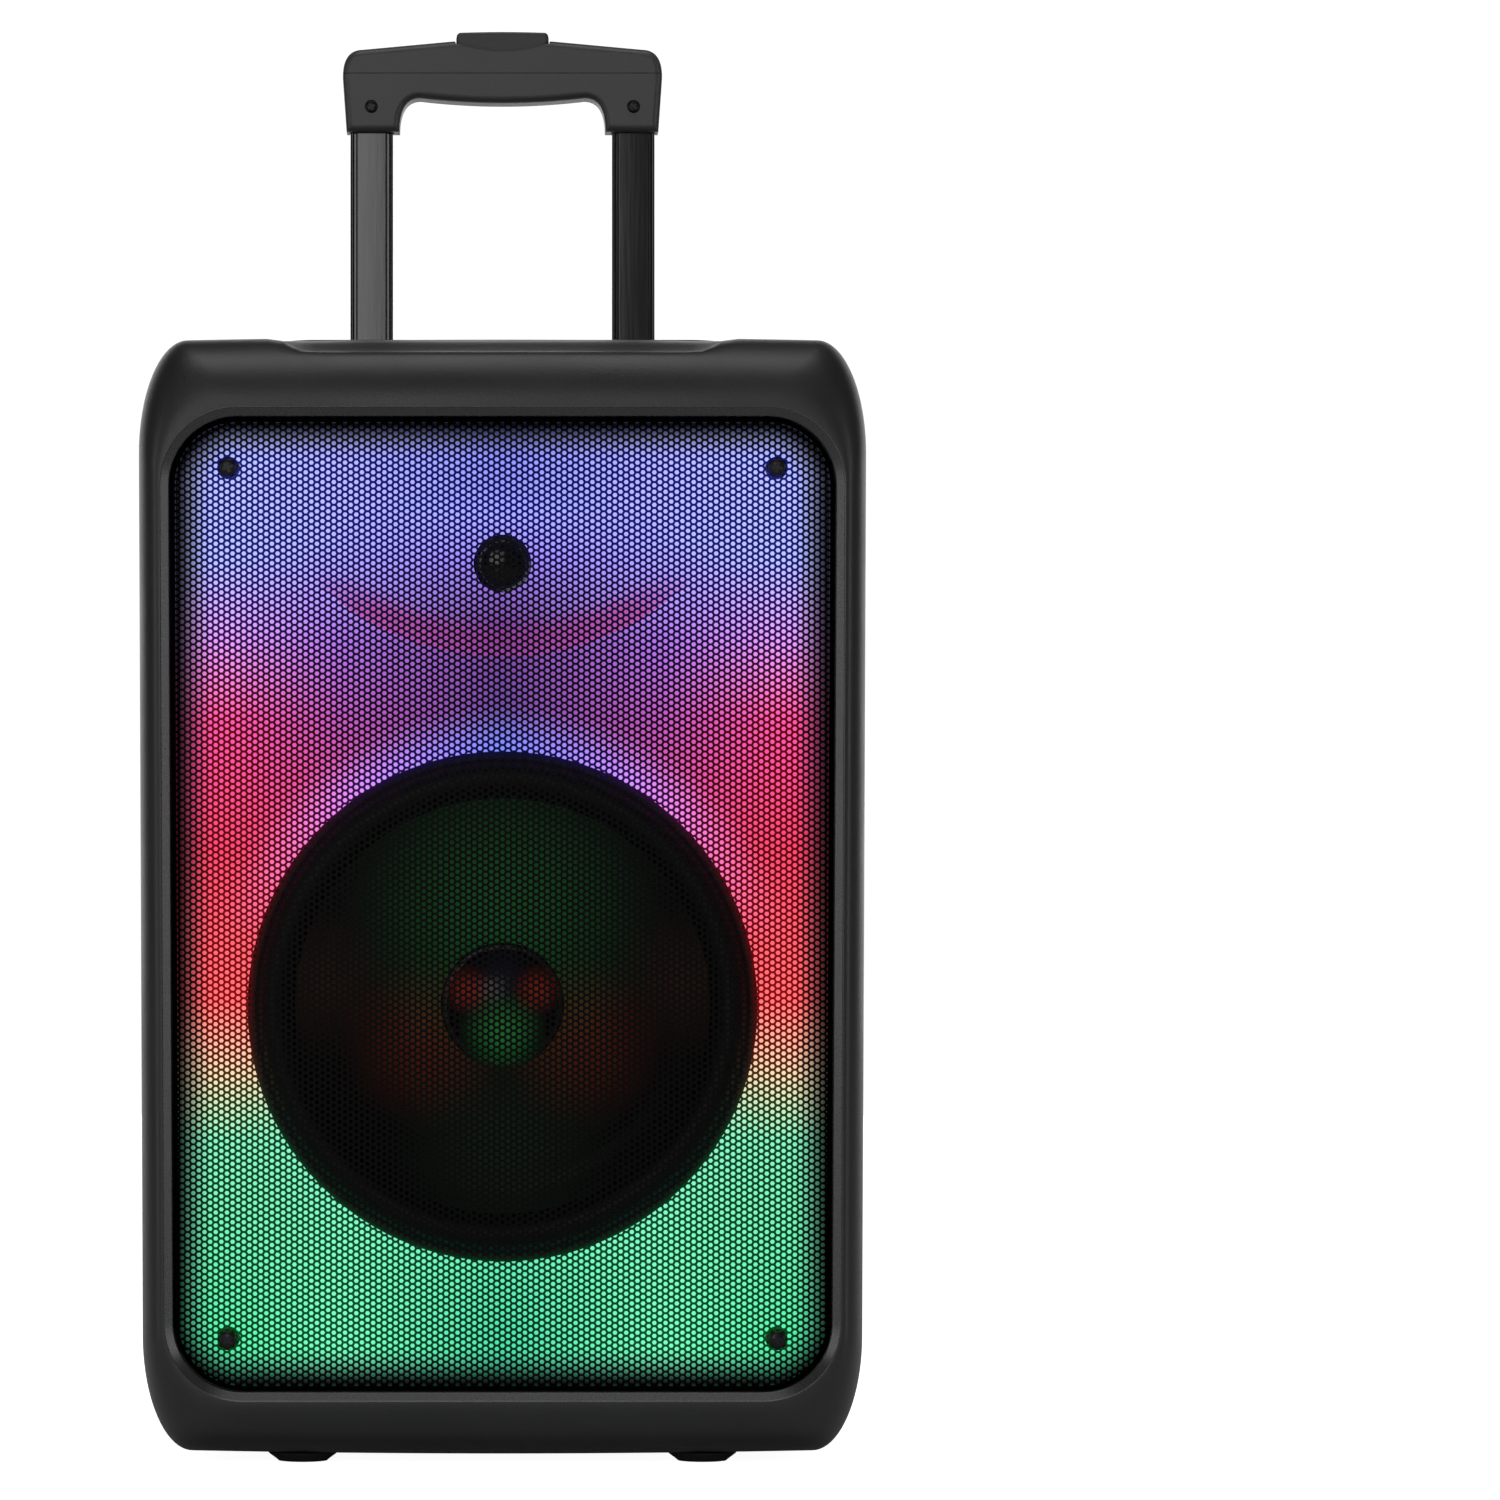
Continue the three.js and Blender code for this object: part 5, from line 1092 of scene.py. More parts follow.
makeWoofer()
makeTweeter()
for number, node in enumerate(screwNodes):
    makeCrossScrew(node + "_pan_head", node, 4 * mm, 1.6 * mm, 1.8 * mm, blackOxideSteel, "cabinet",
                   "black_screw", 0.3 + number)
print("loudspeakers made")


gripLow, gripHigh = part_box("grip_lower")
tubeLow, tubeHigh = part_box("inner_tube_right")
tubeX = (tubeLow.x + tubeHigh.x) / 2
tubeY = (tubeLow.y + tubeHigh.y) / 2
grip = {
    "legHalf": 76.2,  # at the legs' ends, mm
    "half": 78.0,
    "underside": 14.0,  # heights above the legs' ends
    "undersideEdge": 16.4,
    "parting": 28.4,
    "shoulder": 40.2,
    "top": 44.2,
    "shoulderWide": 10.0,
    "sideBulge": 0.4,
    "openHalf": 50.25,
    "openRound": 10.0,
    "round": 3.4,
    "buttonHalf": 22.6,
    "lipSide": 43.2,
    "lipMiddle": 39.0,
    "buttonTop": 49.0,
    "buttonBottom": 27.0,
}


def curve(a, b, c, steps=10):
    ts = np.linspace(0, 1, steps + 1)[1:, None]
    a, b, c = (np.array(p, float) for p in (a, b, c))
    return [tuple(p) for p in a * (1 - ts) ** 2 + 2 * b * ts * (1 - ts) + c * ts ** 2]


def straight(a, b, steps=6):
    return [(a[0] + (b[0] - a[0]) * i / steps, a[1] + (b[1] - a[1]) * i / steps) for i in range(1, steps + 1)]


def gripOutline():
    g = grip
    half, leg, gapHalf = g["half"], g["legHalf"], g["openHalf"]
    shoulderX, openX, flat = half - g["shoulderWide"], gapHalf - g["openRound"], g["buttonHalf"] + 2
    sideTop = g["parting"] - g["undersideEdge"] + g["underside"]
    points = [(leg, 0.0)]
    points += straight((leg, 0), (half, sideTop))
    points += curve((half, sideTop), (half + g["sideBulge"], g["shoulder"]), (shoulderX, g["shoulder"]), 14)
    points += straight((shoulderX, g["shoulder"]), (flat, g["top"]))
    points += straight((flat, g["top"]), (-flat, g["top"]), 12)
    points += straight((-flat, g["top"]), (-shoulderX, g["shoulder"]))
    points += curve((-shoulderX, g["shoulder"]), (-half - g["sideBulge"], g["shoulder"]), (-half, sideTop),
                    14)
    points += straight((-half, sideTop), (-leg, 0))
    points += [(-gapHalf, 0.0)]
    points += curve((-gapHalf, 0), (-gapHalf, g["undersideEdge"]), (-openX, g["undersideEdge"]), 8)
    points += curve((-openX, g["undersideEdge"]), (0, 2 * g["underside"] - g["undersideEdge"]),
                    (openX, g["undersideEdge"]), 24)
    points += curve((openX, g["undersideEdge"]), (gapHalf, g["undersideEdge"]), (gapHalf, 0), 8)
    return np.array(points) * mm + (0, gripLow.z)


def block(low, high, material=None):
    (x0, y0, z0), (x1, y1, z1) = low, high
    return slab("cutter", [(x0, y0), (x1, y0), (x1, y1), (x0, y1)], z0, z1, material or sparkErodedAbs)


def makeGrip():
    g, z0 = grip, gripLow.z
    half, deep = (g["buttonHalf"] + 0.4) * mm, (gripHigh.y - gripLow.y) / 2 - 3 * mm
    for name, node, low, high in (("grip_under", "grip_lower", z0 - 0.02, z0 + g["parting"] * mm),
                                  ("grip_over", "grip_upper", z0 + (g["parting"] + 0.3) * mm, z0 + 0.1)):
        body = slab(name, gripOutline(), gripLow.y, gripHigh.y, gripAbs, g["round"] * mm, "xz", 40, 7)
        carve(body, [block((-0.2, tubeY - 0.1, low), (0.2, tubeY + 0.1, high))], "INTERSECT", 40)
        cutters = [block((-half, tubeY - deep, z0 + (g["buttonBottom"] - 4.3) * mm),
                         (half, tubeY + deep, z0 + 0.1))]
        barHalf = 3.4 * mm
        cutters.append(block((-67 * mm, tubeY - barHalf, z0 + (g["buttonBottom"] - 8.6) * mm),
                             (67 * mm, tubeY + barHalf, z0 + (g["parting"] + 0.1) * mm)))
        if node == "grip_upper":
            lip = [(half, z0 + 60 * mm), (-half, z0 + 60 * mm), (-half, z0 + g["lipSide"] * mm)]
            lip += [(x * mm, z * mm + z0) for x, z in
                    curve((-half / mm, g["lipSide"]), (0, 2 * g["lipMiddle"] - g["lipSide"]),
                          (half / mm, g["lipSide"]), 20)]
            cutters.append(slab("cutter", lip, tubeY - 0.1, tubeY + 0.1, gripAbs, plane="xz"))
        else:
            for side in (-1, 1):
                x = side * tubeX
                wide, thick = (tubeHigh.x - tubeLow.x) / 2 + 0.3 * mm, (tubeHigh.y - tubeLow.y) / 2 + 0.3 * mm
                cutters.append(block((x - wide, tubeY - thick, z0 - 0.01),
                                     (x + wide, tubeY + thick, z0 + 16 * mm)))
                for radius, end in ((3.3 * mm, gripLow.y + 1.4 * mm), (1.8 * mm, tubeY - thick + 0.1 * mm)):
                    ring = circleOutline(radius, x, z0 + 12.2 * mm, 32)
                    cutters.append(slab("cutter", ring, gripLow.y - 0.01, end, gripAbs, plane="xz"))
                rod = circleOutline(2.4 * mm, x, tubeY, 20)
                cutters.append(slab("cutter", rod, z0 + 15 * mm, z0 + 20 * mm, gripAbs))
        carve(body, cutters, smoothBelow=40)
        settle(body, "handle", "grip_plastic", node)

    low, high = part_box("release_button")
    wide, crown = g["buttonHalf"], g["buttonTop"]
    outline = [(-wide, g["buttonBottom"])] + straight((-wide, g["buttonBottom"]), (wide, g["buttonBottom"]),
                                                      8)
    outline += [(wide, crown - 3.2), (wide - 0.4, crown - 1.4), (wide - 1.6, crown - 0.4)]
    outline += curve((wide - 1.6, crown - 0.4), (0, crown + 0.35), (-wide + 1.6, crown - 0.4), 20)
    outline += [(-wide + 0.4, crown - 1.4), (-wide, crown - 3.2)]
    outline = np.array(outline) * mm + (0, z0)
    button = slab("button_cap", outline, low.y, high.y, padAbs, 1.5 * mm, "xz", 40, 5)
    settle(button, "release", "key_plastic", "release_button")


# A drawn box section: a raised flat down each face, a groove on both sides of it, then a rounded ledge.
tubes = {
    "innerHollow": (0.84, 0.7),  # shares of the outline across and along the depth
    "middleHalf": (12.2, 8.2),
    "collar": 7.0,
    "guideHoleHalf": (12.6, 8.6),
    "flange": 3.5,
}


def tubeOutline(x):
    quarter = [(10.5, 0.0), (10.5, 3.3), (10.38, 4.1), (10.05, 4.9), (9.5, 5.4), (8.75, 5.6), (8.6, 5.2),
               (8.5, 4.9), (7.6, 4.9), (7.45, 5.3), (7.35, 6.1), (7.1, 6.42), (6.7, 6.5)]
    points = quarter + [(-a, b) for a, b in quarter[::-1]]
    points += [(-a, -b) for a, b in quarter[1:]] + [(a, -b) for a, b in quarter[:0:-1]]
    return np.array(points) * mm + (x, tubeY)


def boxOutline(x, half, thick, radius):
    return np.array(roundRectangle(2 * half, 2 * thick, radius, x, tubeY, 6))


def upright(outline, z):
    return np.column_stack([outline[:, 0], outline[:, 1], np.full(len(outline), z)])


def makeTelescope():
    for side, name in ((-1, "left"), (1, "right")):
        x = side * tubeX
        low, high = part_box("inner_tube_" + name)
        outside = tubeOutline(x)
        inside = (outside - (x, tubeY)) * tubes["innerHollow"] + (x, tubeY)
        rings = [upright(outside, z) for z in (low.z, high.z)] + [upright(inside, z) for z in (high.z, low.z)]
        settle(loft("inner_stage_" + name, rings, enamelledTube, closed=True, smoothBelow=50),
               "handle", "tube_steel", "inner_tube_" + name)

        low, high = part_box("middle_tube_" + name)
        half, thick = (size * mm for size in tubes["middleHalf"])
        collar = high.z - tubes["collar"] * mm
        steps = [(half, thick, 3.5, low.z), (half, thick, 3.5, collar),
                 (half + 2.4 * mm, thick + 2.4 * mm, 5, collar),
                 (half + 3 * mm, thick + 3 * mm, 5.6, collar + 0.8 * mm),
                 (half + 3 * mm, thick + 3 * mm, 5.6, high.z - 1.4 * mm),
                 (half + 2.4 * mm, thick + 2.4 * mm, 5, high.z - 0.3 * mm),
                 (half + 1.2 * mm, thick + 1.2 * mm, 4.4, high.z),
                 (half - 1.3 * mm, thick - 1.3 * mm, 2.4, high.z),
                 (half - 1.3 * mm, thick - 1.3 * mm, 2.4, low.z)]
        rings = [upright(boxOutline(x, a, b, r * mm), z) for a, b, r, z in steps]
        settle(loft("middle_stage_" + name, rings, enamelledTube, closed=True),
               "middle_stage", "tube_steel", "middle_tube_" + name)

        low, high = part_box("handle_guide_" + name)
        half, thick = (high.x - low.x) / 2, (high.y - low.y) / 2
        flange = high.z - tubes["flange"] * mm
        inner, innerThick = (size * mm for size in tubes["guideHoleHalf"])
        steps = [(half - 4 * mm, thick - 4 * mm, 5, low.z), (half - 4 * mm, thick - 4 * mm, 5, flange),
                 (half, thick, 8, flange), (half, thick, 8, high.z - 1.2 * mm),
                 (half - 0.4 * mm, thick - 0.4 * mm, 7.6, high.z - 0.4 * mm),
                 (half - 1.3 * mm, thick - 1.3 * mm, 7, high.z), (inner, innerThick, 3.8, high.z),
                 (inner, innerThick, 3.8, low.z)]
        rings = [upright(boxOutline(x, a, b, r * mm), z) for a, b, r, z in steps]
        settle(loft("guide_sleeve_" + name, rings, smoothAbs, closed=True),
               "cabinet", "panel_plastic", "handle_guide_" + name)


makeGrip()
makeTelescope()
for name in ("left", "right"):
    makeCrossScrew("grip_pan_head_" + name, "grip_screw_" + name, 3 * mm, 1.2 * mm, 1.5 * mm, blackOxideSteel,
                   "handle", "bright_steel", 0.5 if name == "left" else 0.9)
print("handle made")


# An open dish let into the cabinet's top: its walls, a rounded rim over the cut edge and a filleted floor.
def makeDish(name, low, high, corner, floorUp, fillet, body, slotName, node, cutters):
    middle = (low + high) / 2
    wide, long = high.x - low.x, high.y - low.y
    wall = 2.5 * mm

    def rimDrop(x):
        return -shell["crown"] * mm * min(1.0, (x / 0.146) ** 2)  # the rim follows the crowned top

    def ring(outset, z):
        outline = roundRectangle(wide + 2 * outset, long + 2 * outset, corner + outset, middle.x, middle.y, 8)
        return [(x, y, z + rimDrop(x) if z > high.z - 2 * mm else z) for x, y in outline]

    rim = top + 0.5 * mm
    levels = [(0, low.z), (0, high.z - 4 * mm), (0, rim - 1.0 * mm), (1.6 * mm, rim - 0.7 * mm),
              (1.7 * mm, rim - 0.2 * mm), (1.2 * mm, rim), (-1.2 * mm, rim), (-2.0 * mm, rim - 0.3 * mm),
              (-wall, rim - 1.0 * mm)]
    floor = low.z + floorUp
    levels.append((-wall, floor + fillet))
    for i in range(1, 6):
        t = math.pi / 2 * i / 5
        levels.append((-wall - fillet * (1 - math.cos(t)), floor + fillet * (1 - math.sin(t))))
    dish = loft(name, [ring(o, z) for o, z in levels], smoothAbs, smoothBelow=40)
    if cutters:
        carve(dish, cutters, smoothBelow=40)
    settle(dish, body, slotName, node)


keyNodes = ["mode_key", "back_key", "play_key", "next_key", "light_key"]
knobNodes = ["volume_knob", "mic_knob", "echo_knob"]
trayFloor = trayLow.z + 2.5 * mm
controls = {
    "knurls": 3.2,  # mm round the knob for one ridge
    "knurlDeep": 0.35,
    "keyRound": 0.6,
    "ink": 0.12,
}


def makeTrayAndWell():
    cutters = []
    for node in keyNodes:
        middle = nodeMiddle(node)
        cutters.append(slab("cutter", roundRectangle(18.8 * mm, 9.8 * mm, 1.8 * mm, middle.x, middle.y, 5),
                            trayLow.z - 0.01, trayFloor + 0.005, smoothAbs))
    for node in knobNodes:
        low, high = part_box(node)
        cutters.append(slab("cutter", circleOutline(3.4 * mm, (low.x + high.x) / 2, knobMiddle(node).y, 24),
                            trayLow.z - 0.01, trayFloor + 0.005, smoothAbs))
    jack, usb = nodeMiddle("mic_jack"), nodeMiddle("usb_port")
    cutters.append(slab("cutter", circleOutline(6.1 * mm, jack.x, jack.y, 32), trayLow.z - 0.01,
                        trayFloor + 0.005, smoothAbs))
    cutters.append(block((usb.x - 8 * mm, usb.y - 4.3 * mm, trayLow.z - 0.01),
                         (usb.x + 8 * mm, usb.y + 4.3 * mm, trayFloor + 0.005)))
    makeDish("control_tray", trayLow, trayHigh, 10 * mm, 2.5 * mm, 2 * mm, "cabinet", "panel_plastic",
             "top_panel", cutters)
    cutters = [slab("cutter", boxOutline(side * tubeX, 14.4 * mm, 10.4 * mm, 5.2 * mm), wellLow.z - 0.01,
                    wellLow.z + 0.004, smoothAbs) for side in (-1, 1)]
    makeDish("handle_recess", wellLow, wellHigh, 12 * mm, 2.5 * mm, 3 * mm, "cabinet", "panel_plastic",
             "handle_well", cutters)


def knobMiddle(node):
    low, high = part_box(node)
    radius = (high.x - low.x) / 2
    return Vector(((low.x + high.x) / 2, low.y + radius, 0))


def makeKnobs():
    for node in knobNodes:
        low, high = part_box(node)
        middle = knobMiddle(node)
        radius, capTop = (high.x - low.x) / 2, high.z - 0.5 * mm
        ridges = int(2 * math.pi * radius / mm / controls["knurls"])
        sides = ridges * 6
        angles = np.arange(sides) * 2 * math.pi / sides

        def ring(r, z, knurl=0.0):
            reach = r - knurl * (0.5 - 0.5 * np.cos(angles * ridges)) ** 2
            return np.column_stack([middle.x + reach * np.cos(angles), middle.y + reach * np.sin(angles),
                                    np.full(sides, z)])
        deep = controls["knurlDeep"] * mm
        skirt = trayFloor + 0.3 * mm
        rings = [ring(3 * mm, low.z), ring(3 * mm, skirt), ring(radius, skirt),
                 ring(radius, skirt + 1.2 * mm),
                 ring(radius - 0.8 * mm, skirt + 1.9 * mm), ring(radius - 1.1 * mm, skirt + 2.2 * mm, deep),
                 ring(radius - 1.7 * mm, capTop - 1.0 * mm, deep),
                 ring(radius - 2.1 * mm, capTop - 0.3 * mm, deep / 2),
                 ring(radius - 2.8 * mm, capTop), ring(radius - 4.2 * mm, capTop - 0.1 * mm),
                 ring(radius - 4.8 * mm, capTop - 0.5 * mm), ring(2 * mm, capTop - 0.7 * mm)]
        knob = loft(node + "_turned", rings, glossAbs, smoothBelow=40)
        settle(knob, node, "gloss_plastic", node)
        end = middle.y + radius - 3.2 * mm
        mark = slab(node + "_mark", roundRectangle(1.4 * mm, 5 * mm, 0.6 * mm, middle.x, end - 2.2 * mm, 3),
                    capTop - 0.8 * mm, capTop + 0.12 * mm, padInk, 0.08 * mm, steps=2)
        settle(mark, node, "gloss_plastic")


def drawn(points, x, y, size):
    return [(x + px * size, y + py * size) for px, py in points]


# Icons in key order: three bars, back, play, on, and a lamp with rays.
def iconShapes(node, x, y):
    size = 1.0 * mm
    triangle = [(-1.3, -1.6), (1.5, 0), (-1.3, 1.6)]
    if node == "mode_key":
        return [drawn([(-2.0, h - 0.3), (2.0, h - 0.3), (2.0, h + 0.3), (-2.0, h + 0.3)], x, y, size)
                for h in (-1.3, 0, 1.3)]
    if node == "play_key":
        bars = [[(b, -1.6), (b + 0.7, -1.6), (b + 0.7, 1.6), (b, 1.6)] for b in (1.5, 2.9)]
        return [drawn(triangle, x - 1.4 * mm, y, size)] + [drawn(b, x, y, size) for b in bars]
    if node == "light_key":
        rays = []
        for i in range(8):
            a = i * math.pi / 4
            cosine, sine = math.cos(a), math.sin(a)
            rays.append(drawn([(1.5 * cosine + 0.2 * sine, 1.5 * sine - 0.2 * cosine),
                               (2.3 * cosine + 0.2 * sine, 2.3 * sine - 0.2 * cosine),
                               (2.3 * cosine - 0.2 * sine, 2.3 * sine + 0.2 * cosine),
                               (1.5 * cosine - 0.2 * sine, 1.5 * sine + 0.2 * cosine)],
                              x, y, size))
        return [[tuple(p) for p in circleOutline(1.0 * mm, x, y, 20)]] + rays
    way = 1 if node == "next_key" else -1
    shapes = [[(way * px + way * shift, py) for px, py in triangle][::way] for shift in (-1.5, 1.2)]
    bar = [(way * 3.0, -1.6), (way * 3.6, -1.6), (way * 3.6, 1.6), (way * 3.0, 1.6)][::way]
    return [drawn(shape, x, y, size) for shape in shapes + [bar]]


def makeKeys():
    for node in keyNodes:
        low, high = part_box(node)
        middle = nodeMiddle(node)
        outline = roundRectangle(18 * mm, 9 * mm, 1.6 * mm, middle.x, middle.y, 6)
        cap = slab(node + "_cap", outline, low.z + 1.2 * mm, high.z, keyAbs, controls["keyRound"] * mm,
                   steps=4)
        flange = block((low.x, low.y, low.z), (high.x, high.y, trayLow.z - 0.3 * mm), keyAbs)
        settle(joinPieces(node + "_moulded", [cap, flange]), node, "key_plastic", node)
        icons = [slab("icon", shape, high.z - 0.2 * mm, high.z + controls["ink"] * mm, padInk)
                 for shape in iconShapes(node, middle.x, middle.y)]
        settle(joinPieces(node + "_icon", icons), node, "key_plastic")


def makeDisplayAndSockets():
    low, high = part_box("display_window")
    middle = nodeMiddle("display_window")
    outline = roundRectangle(high.x - low.x, high.y - low.y, 2 * mm, middle.x, middle.y, 6)
    settle(slab("display_glass", outline, low.z, high.z, smokedAcrylic, 0.4 * mm), "cabinet", "gloss_plastic",
           "display_window")
    rimOut = [np.array(roundRectangle(high.x - low.x + o * mm, high.y - low.y + o * mm, 2 * mm + o / 2 * mm,
                                      middle.x, middle.y, 6)) for o in (3.4, 3.0, 0.8, 0.5)]
    rings = [upright(rimOut[0], low.z), upright(rimOut[0], high.z), upright(rimOut[1], high.z + 0.4 * mm),
             upright(rimOut[2], high.z + 0.4 * mm), upright(rimOut[3], high.z + 0.1 * mm),
             upright(rimOut[3], low.z)]
    settle(loft("display_frame", rings, glossAbs, closed=True), "cabinet", "gloss_plastic")

    low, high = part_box("mic_jack")
    middle = nodeMiddle("mic_jack")
    hexagon = [(middle.x + 6.9 * mm * math.cos(a), middle.y + 6.9 * mm * math.sin(a))
               for a in np.arange(6) * math.pi / 3]
    seat = trayFloor + 0.3 * mm
    nut = slab("nut", hexagon, seat, high.z - 0.2 * mm, zincPlatedSteel, 0.25 * mm)
    bore = slab("cutter", circleOutline(3.2 * mm, middle.x, middle.y, 40), low.z + 1.5 * mm, high.z + 0.01,
                zincPlatedSteel)
    barrel = slab("barrel", circleOutline(5.2 * mm, middle.x, middle.y, 40), low.z, high.z, zincPlatedSteel,
                  0.3 * mm)
    carve(nut, [barrel], "UNION")
    carve(nut, [bore])
    nut.name = "jack_nut"
    settle(nut, "cabinet", "bright_steel", "mic_jack")

    low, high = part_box("usb_port")
    middle = nodeMiddle("usb_port")
    shellOutline = roundRectangle(high.x - low.x, high.y - low.y, 0.8 * mm, middle.x, middle.y, 4)
    can = slab("usb_can", shellOutline, low.z, high.z, zincPlatedSteel, 0.3 * mm)
    carve(can, [block((middle.x - 6.5 * mm, middle.y - 2.8 * mm, low.z + 1.2 * mm),
                      (middle.x + 6.5 * mm, middle.y + 2.8 * mm, high.z + 0.01))])
    settle(can, "cabinet", "bright_steel", "usb_port")
    tongue = slab("usb_tongue", roundRectangle(11.4 * mm, 1.9 * mm, 0.3 * mm, middle.x, middle.y + 1.4 * mm,
                                               3),
                  low.z + 1 * mm, high.z - 0.8 * mm, padInk, 0.2 * mm)
    settle(tongue, "cabinet", "bright_steel")


makeTrayAndWell()
makeKnobs()
makeKeys()
makeDisplayAndSockets()
print("tray and controls made")


portLow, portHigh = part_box("bass_port")
panelLow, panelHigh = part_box("rear_panel")
rear = {
    "panelCorner": 6.0,
    "screwInset": 7.0,
    "headRadius": 2.8,
    "screwTurn": 0.4,  # radians, so that no two screws stand alike
    "portBore": 28.0,
    "flareWide": 4.6,
    "flareDeep": 7.0,
    "rockerHalfTall": 10.5,
    "rockerHoleHalf": 11.4,
}


def makeBack():
    middle = ((portLow.x + portHigh.x) / 2, 0.0, (portLow.z + portHigh.z) / 2)
    rim, bore = (portHigh.x - portLow.x) / 2, rear["portBore"] * mm
    seat, face = back + 0.3 * mm, portHigh.y
    flareWide, flareDeep = rear["flareWide"] * mm, rear["flareDeep"] * mm
    profile = [(bore, portLow.y), (bore + 2.5 * mm, portLow.y), (bore + 2.5 * mm, seat),
               (rim - 0.2 * mm, seat),
               (rim, seat + 0.5 * mm), (rim - 0.7 * mm, seat + 1.8 * mm), (rim - 2.2 * mm, face - 0.3 * mm),
               (rim - 3.4 * mm, face), (bore + flareWide, face)]
    profile += [(bore + flareWide * (1 - math.sin(t)), face - flareDeep * (1 - math.cos(t)))
                for t in np.linspace(0.25, math.pi / 2, 9)]
    settle(turned("port_tube", profile, middle, (0, 1, 0), smoothAbs, 96, closed=True), "cabinet",
           "panel_plastic", "bass_port")

    x, z = (panelLow.x + panelHigh.x) / 2, (panelLow.z + panelHigh.z) / 2
    outline = roundRectangle(panelHigh.x - panelLow.x, panelHigh.z - panelLow.z, rear["panelCorner"] * mm, x,
                             z, 8)
    plate = slab("rear_plate", outline, panelLow.y, panelHigh.y, smoothAbs, 0.6 * mm, "xz")
    cutters = []
    for node, room in (("power_inlet", 0.3), ("power_switch", 0.4)):
        low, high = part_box(node)
        half = ((high.x - low.x) / 2 + room * mm, (high.z - low.z) / 2 + room * mm)
        if node == "power_switch":
            half = (half[0], rear["rockerHoleHalf"] * mm)
        centre = nodeMiddle(node)
        outline = roundRectangle(2 * half[0], 2 * half[1], 1 * mm, centre.x, z, 4)
        cutters.append(slab("cutter", outline, panelLow.y - 0.01, back + 0.01, smoothAbs, plane="xz"))
    carve(plate, cutters)
    settle(plate, "cabinet", "panel_plastic", "rear_panel")

    head = rear["headRadius"] * mm
    for number, (sx, sz) in enumerate(((-1, -1), (1, -1), (-1, 1), (1, 1))):
        px = x + sx * ((panelHigh.x - panelLow.x) / 2 - rear["screwInset"] * mm)
        pz = z + sz * ((panelHigh.z - panelLow.z) / 2 - rear["screwInset"] * mm)
        profile = [(0, 0)] + [(head * math.sin(t), -1.0 * mm * (1 - math.cos(t)))
                              for t in np.linspace(0.15, math.pi / 2, 8)] + [(head * 0.7, -1.6 * mm),
                                                                             (0, -1.6 * mm)]
        screw = turned("panel_screw_%d" % (number + 1), profile, (px, panelHigh.y + 1.2 * mm, pz), (0, 1, 0),
                       blackOxideSteel, 32)
        carve(screw, crossCutters(px, pz, panelHigh.y + 0.5 * mm, panelHigh.y + 3 * mm, head,
                                  rear["screwTurn"] + number,
                                  blackOxideSteel), smoothBelow=30)
        settle(screw, "cabinet", "black_screw")

    low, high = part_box("power_switch")
    x, half = (low.x + high.x) / 2, rear["rockerHalfTall"] * mm
    valley = back + 0.5 * mm
    side = [(z - half + 1 * mm, low.y), (z + half - 1 * mm, low.y), (z + half - 0.4 * mm, valley - 0.9 * mm),
            (z + half - 0.7 * mm, back - 0.1 * mm)]
    side += curve((z + half - 0.7 * mm, back - 0.1 * mm), (z, back + 0.2 * mm),
                  (z - half + 1.1 * mm, high.y), 12)
    side += [(z - half + 0.5 * mm, high.y - 0.3 * mm), (z - half + 0.4 * mm, high.y - 1.0 * mm)]
    rings = []
    for px, inset in ((x - 7 * mm, 0.5 * mm), (x - 6.5 * mm, 0.0), (x + 6.5 * mm, 0.0),
                      (x + 7 * mm, 0.5 * mm)):
        ring = []
        for pz, py in side:
            pz = 2 * z - pz
            ring.append((px, py - (inset if py > back - 1 * mm else 0), pz))
        rings.append(ring)
    settle(loft("rocker_cap", rings, glossAbs, smoothBelow=25), "power_switch", "gloss_plastic",
           "power_switch")

    low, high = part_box("power_inlet")
    x, z = (low.x + high.x) / 2, (low.z + high.z) / 2
    outline = [(x + a * mm, z + b * mm) for a, b in ((-13.5, -10), (13.5, -10), (13.5, 10), (-13.5, 10))]
    housing = slab("inlet_housing", outline, low.y, high.y, glossAbs, 0.3 * mm, "xz")
    mouth = [(x + a * mm, z + b * mm) for a, b in ((-11.5, -8), (11.5, -8), (11.5, 4), (7.5, 8), (-7.5, 8),
                                                   (-11.5, 4))]
    carve(housing, [slab("cutter", mouth, low.y + 2 * mm, back + 0.01, glossAbs, plane="xz")])
    settle(housing, "cabinet", "panel_plastic", "power_inlet")
    prongs = [slab("prong", roundRectangle(2 * mm, 4 * mm, 0.5 * mm, x + i * 6 * mm,
                                           z + (3 if i == 0 else -2) * mm, 3),
                   low.y + 1.5 * mm, low.y + 10 * mm, zincPlatedSteel, 0.3 * mm, "xz") for i in (-1, 0, 1)]
    settle(joinPieces("inlet_prongs", prongs), "cabinet", "bright_steel")


makeBack()
print("back made")


wheelSize = {
    "grooves": (-5.0, 0.0, 5.0),
    "grooveWide": 1.0,
    "grooveDeep": 0.9,
    "tyreRound": 4.0,
    "hubRadius": 21.0,
    "rimRadius": 17.0,
    "bossRadius": 8.4,
    "bore": 4.4,
    "webHalf": 3.0,
    "spokes": 6,
    "spokeWide": 5.0,
    "footNarrow": 11.3,  # the radius on which a foot stands
}


